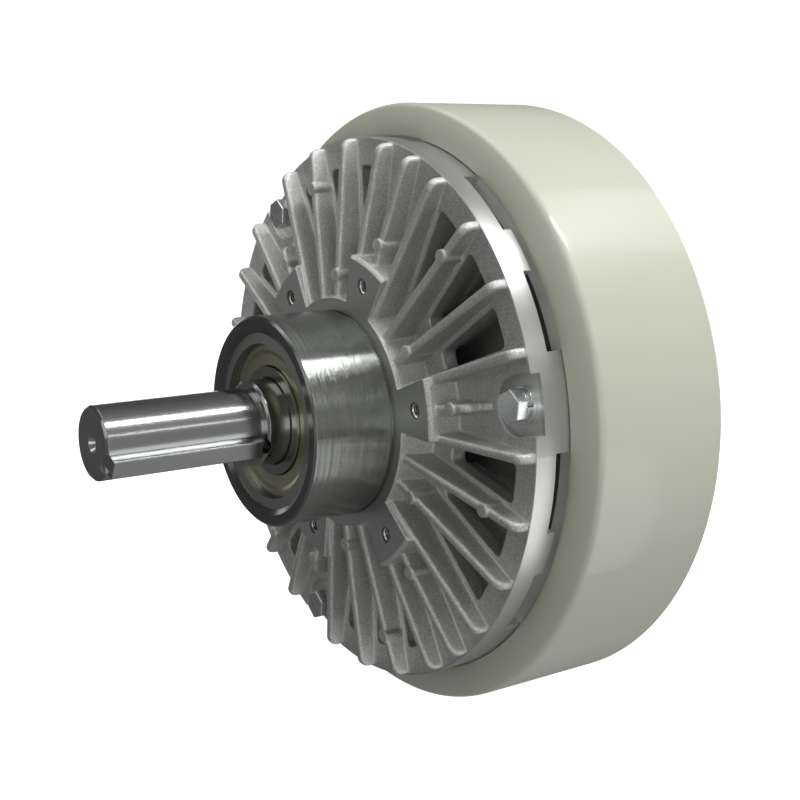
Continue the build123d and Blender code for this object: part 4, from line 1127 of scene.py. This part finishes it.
@dataclass
class Studio:
    """Camera, lamps, sky and the pale sheets behind the brake, in metres."""

    eye: Place = (0.41009, -0.25334, 0.09554)
    right: Place = (0.5657, 0.8247, 0.0)
    up: Place = (-0.1525, 0.1046, 0.9828)
    lens: float = 61.02
    sensor: float = 36.0
    shift: Tuple[float, float] = (0.00025, -0.00163)
    near_clip: float = 0.01
    floor: float = -0.1102
    stage_half: float = 6.0
    wall_steps: int = 48
    paper_glow: float = 0.93
    paper_tone: Colour = (0.6, 0.6, 0.6)
    paper_rough: float = 0.9
    sky_low: float = 0.10
    sky_high: float = 0.39
    sky_reach: float = 0.75
    sky_towards: Place = (0.82, 0.54, -0.12)
    lamps: Tuple[Lamp, ...] = (
        Lamp("strip", (0.485, 0.27, 0.965), 0.13, 0.93, 9.0, (0.05, -0.02, 0.02)),
        Lamp("back_box", (0.30, 0.95, 1.05), 0.5, 0.5, 1.2),
        Lamp("thin_strip", (0.93, 0.27, 0.50), 0.025, 0.90, 0.5),
        Lamp("front_box", (0.25, -1.60, 0.95), 1.1, 1.1, 3.0),
        Lamp("camera_box", (1.45, -0.85, -0.05), 0.9, 0.9, 4.2),
        Lamp("top_box", (-0.45, -0.30, 1.55), 1.3, 1.3, 9.5),
        Lamp("left_box", (-1.02, -1.12, -0.15), 0.6, 0.6, 0.26),
        Lamp("far_left_box", (-1.45, 0.15, -0.10), 0.6, 1.1, 2.2),
        Lamp("low_box", (1.05, 0.60, -0.80), 1.0, 1.0, 3.6),
        Lamp("rear_box", (-0.25, 1.60, 0.35), 0.8, 0.8, 6.0),
    )

    def build(self) -> None:
        """Set up the camera, the lamps, the sky, the floor and the backdrop."""
        self.add_camera()
        for lamp in self.lamps:
            self.add_lamp(lamp)
        self.add_sky()
        half = self.stage_half
        floor = [(-half, -half), (half, -half), (half, half), (-half, half)]
        self.add_stage("floor", [(x, y, self.floor) for x, y in floor])
        turns = [math.tau * step / self.wall_steps for step in range(self.wall_steps + 1)]
        ring = [(half * math.cos(turn), half * math.sin(turn)) for turn in turns]
        walls = [(x, y, z) for x, y in ring for z in (self.floor, self.floor + half)]
        self.add_stage("backdrop", walls)
        LOG.info("studio: %d lamps", len(self.lamps))

    def add_camera(self) -> None:
        """Put the camera at the photograph's place and angle."""
        data = bpy.data.cameras.new("camera")
        data.lens = self.lens
        data.sensor_width = self.sensor
        data.shift_x, data.shift_y = self.shift
        data.clip_start = self.near_clip
        camera = bpy.data.objects.new("camera", data)
        right = Vector(self.right).normalized()
        up = Vector(self.up).normalized()
        turn = Matrix((right, up, right.cross(up))).transposed().to_4x4()
        camera.matrix_world = Matrix.Translation(self.eye) @ turn
        bpy.context.scene.collection.objects.link(camera)
        bpy.context.scene.camera = camera

    def add_lamp(self, lamp: Lamp) -> None:
        """Hang one lamp and aim it at its target, with its length as near to the shaft's axis as it goes.

        Args:
            lamp: The lamp.
        """
        data = bpy.data.lights.new(lamp.name, "AREA")
        data.shape = "RECTANGLE"
        data.size = lamp.width
        data.size_y = lamp.length
        data.energy = lamp.watts
        light = bpy.data.objects.new(lamp.name, data)
        aim = (Vector(lamp.target) - Vector(lamp.place)).normalized()
        side = aim.cross(Vector((0.0, 1.0, 0.0)))
        along = side.cross(aim).normalized()
        turn = Matrix((along.cross(-aim), along, -aim)).transposed().to_4x4()
        light.matrix_world = Matrix.Translation(lamp.place) @ turn
        bpy.context.scene.collection.objects.link(light)

    def add_sky(self) -> None:
        """Pale light from all round, strongest from sky_towards and weakest from opposite it."""
        world = bpy.data.worlds.new("studio_sky")
        world.use_nodes = True
        sheet = Sheet(world.node_tree)
        ray = sheet.add("ShaderNodeTexCoord", output="Generated")
        sides = {0: ray, 1: self.sky_towards}
        facing = sheet.add("ShaderNodeVectorMath", {"operation": "DOT_PRODUCT"}, sides, "Value")
        ramp = {
            "Value": facing,
            "From Min": -self.sky_reach,
            "From Max": self.sky_reach,
            "To Min": self.sky_low,
            "To Max": self.sky_high,
        }
        strength = sheet.add("ShaderNodeMapRange", {"interpolation_type": "SMOOTHSTEP"}, ramp)
        sky = sheet.add("ShaderNodeBackground", {}, {"Color": (1.0, 1.0, 1.0, 1.0), "Strength": strength})
        sheet.add("ShaderNodeOutputWorld", {}, {"Surface": sky})
        bpy.context.scene.world = world
        bpy.context.scene.view_settings.view_transform = "Standard"

    def add_stage(self, name: str, corners: Sequence[Place]) -> None:
        """Add a plain white sheet, which the camera sees and which doesn't light the brake.

        Args:
            name: Name of the sheet.
            corners: Four corners, or pairs of lower and upper corners along a wall.
        """
        count = len(corners)
        faces = [(0, 1, 2, 3)]
        if count > 4:
            faces = [(first, first + 1, first + 3, first + 2) for first in range(0, count - 2, 2)]
        mesh = bpy.data.meshes.new(name)
        mesh.from_pydata(corners, [], faces)
        mesh.materials.append(self.paper())
        stage = bpy.data.objects.new(name, mesh)
        bpy.context.scene.collection.objects.link(stage)
        stage.visible_glossy = False
        stage.visible_diffuse = False
        stage.visible_shadow = False

    def paper(self) -> bpy.types.Material:
        """White seamless paper that is lit from within, made once.

        Returns:
            The material.
        """
        known = bpy.data.materials.get("seamless_paper")
        if known is not None:
            return known
        material = bpy.data.materials.new("seamless_paper")
        material.use_nodes = True
        sheet = Sheet(material.node_tree)
        values = {
            "Base Color": (*self.paper_tone, 1.0),
            "Roughness": self.paper_rough,
            "Emission Color": (1.0, 1.0, 1.0, 1.0),
            "Emission Strength": self.paper_glow,
        }
        shader = sheet.add("ShaderNodeBsdfPrincipled", {}, values)
        sheet.add("ShaderNodeOutputMaterial", {}, {"Surface": shader})
        return material


def main() -> None:
    """Build the brake's looks in order."""
    logging.basicConfig(level=logging.INFO, format="%(name)s: %(message)s")
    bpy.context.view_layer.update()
    for part in (Studio(), Yoke(), FrontBracket(), PilotHub(), Rotor(), Magnet(), RearEnd()):
        part.build()


if __name__ == "__main__":
    main()
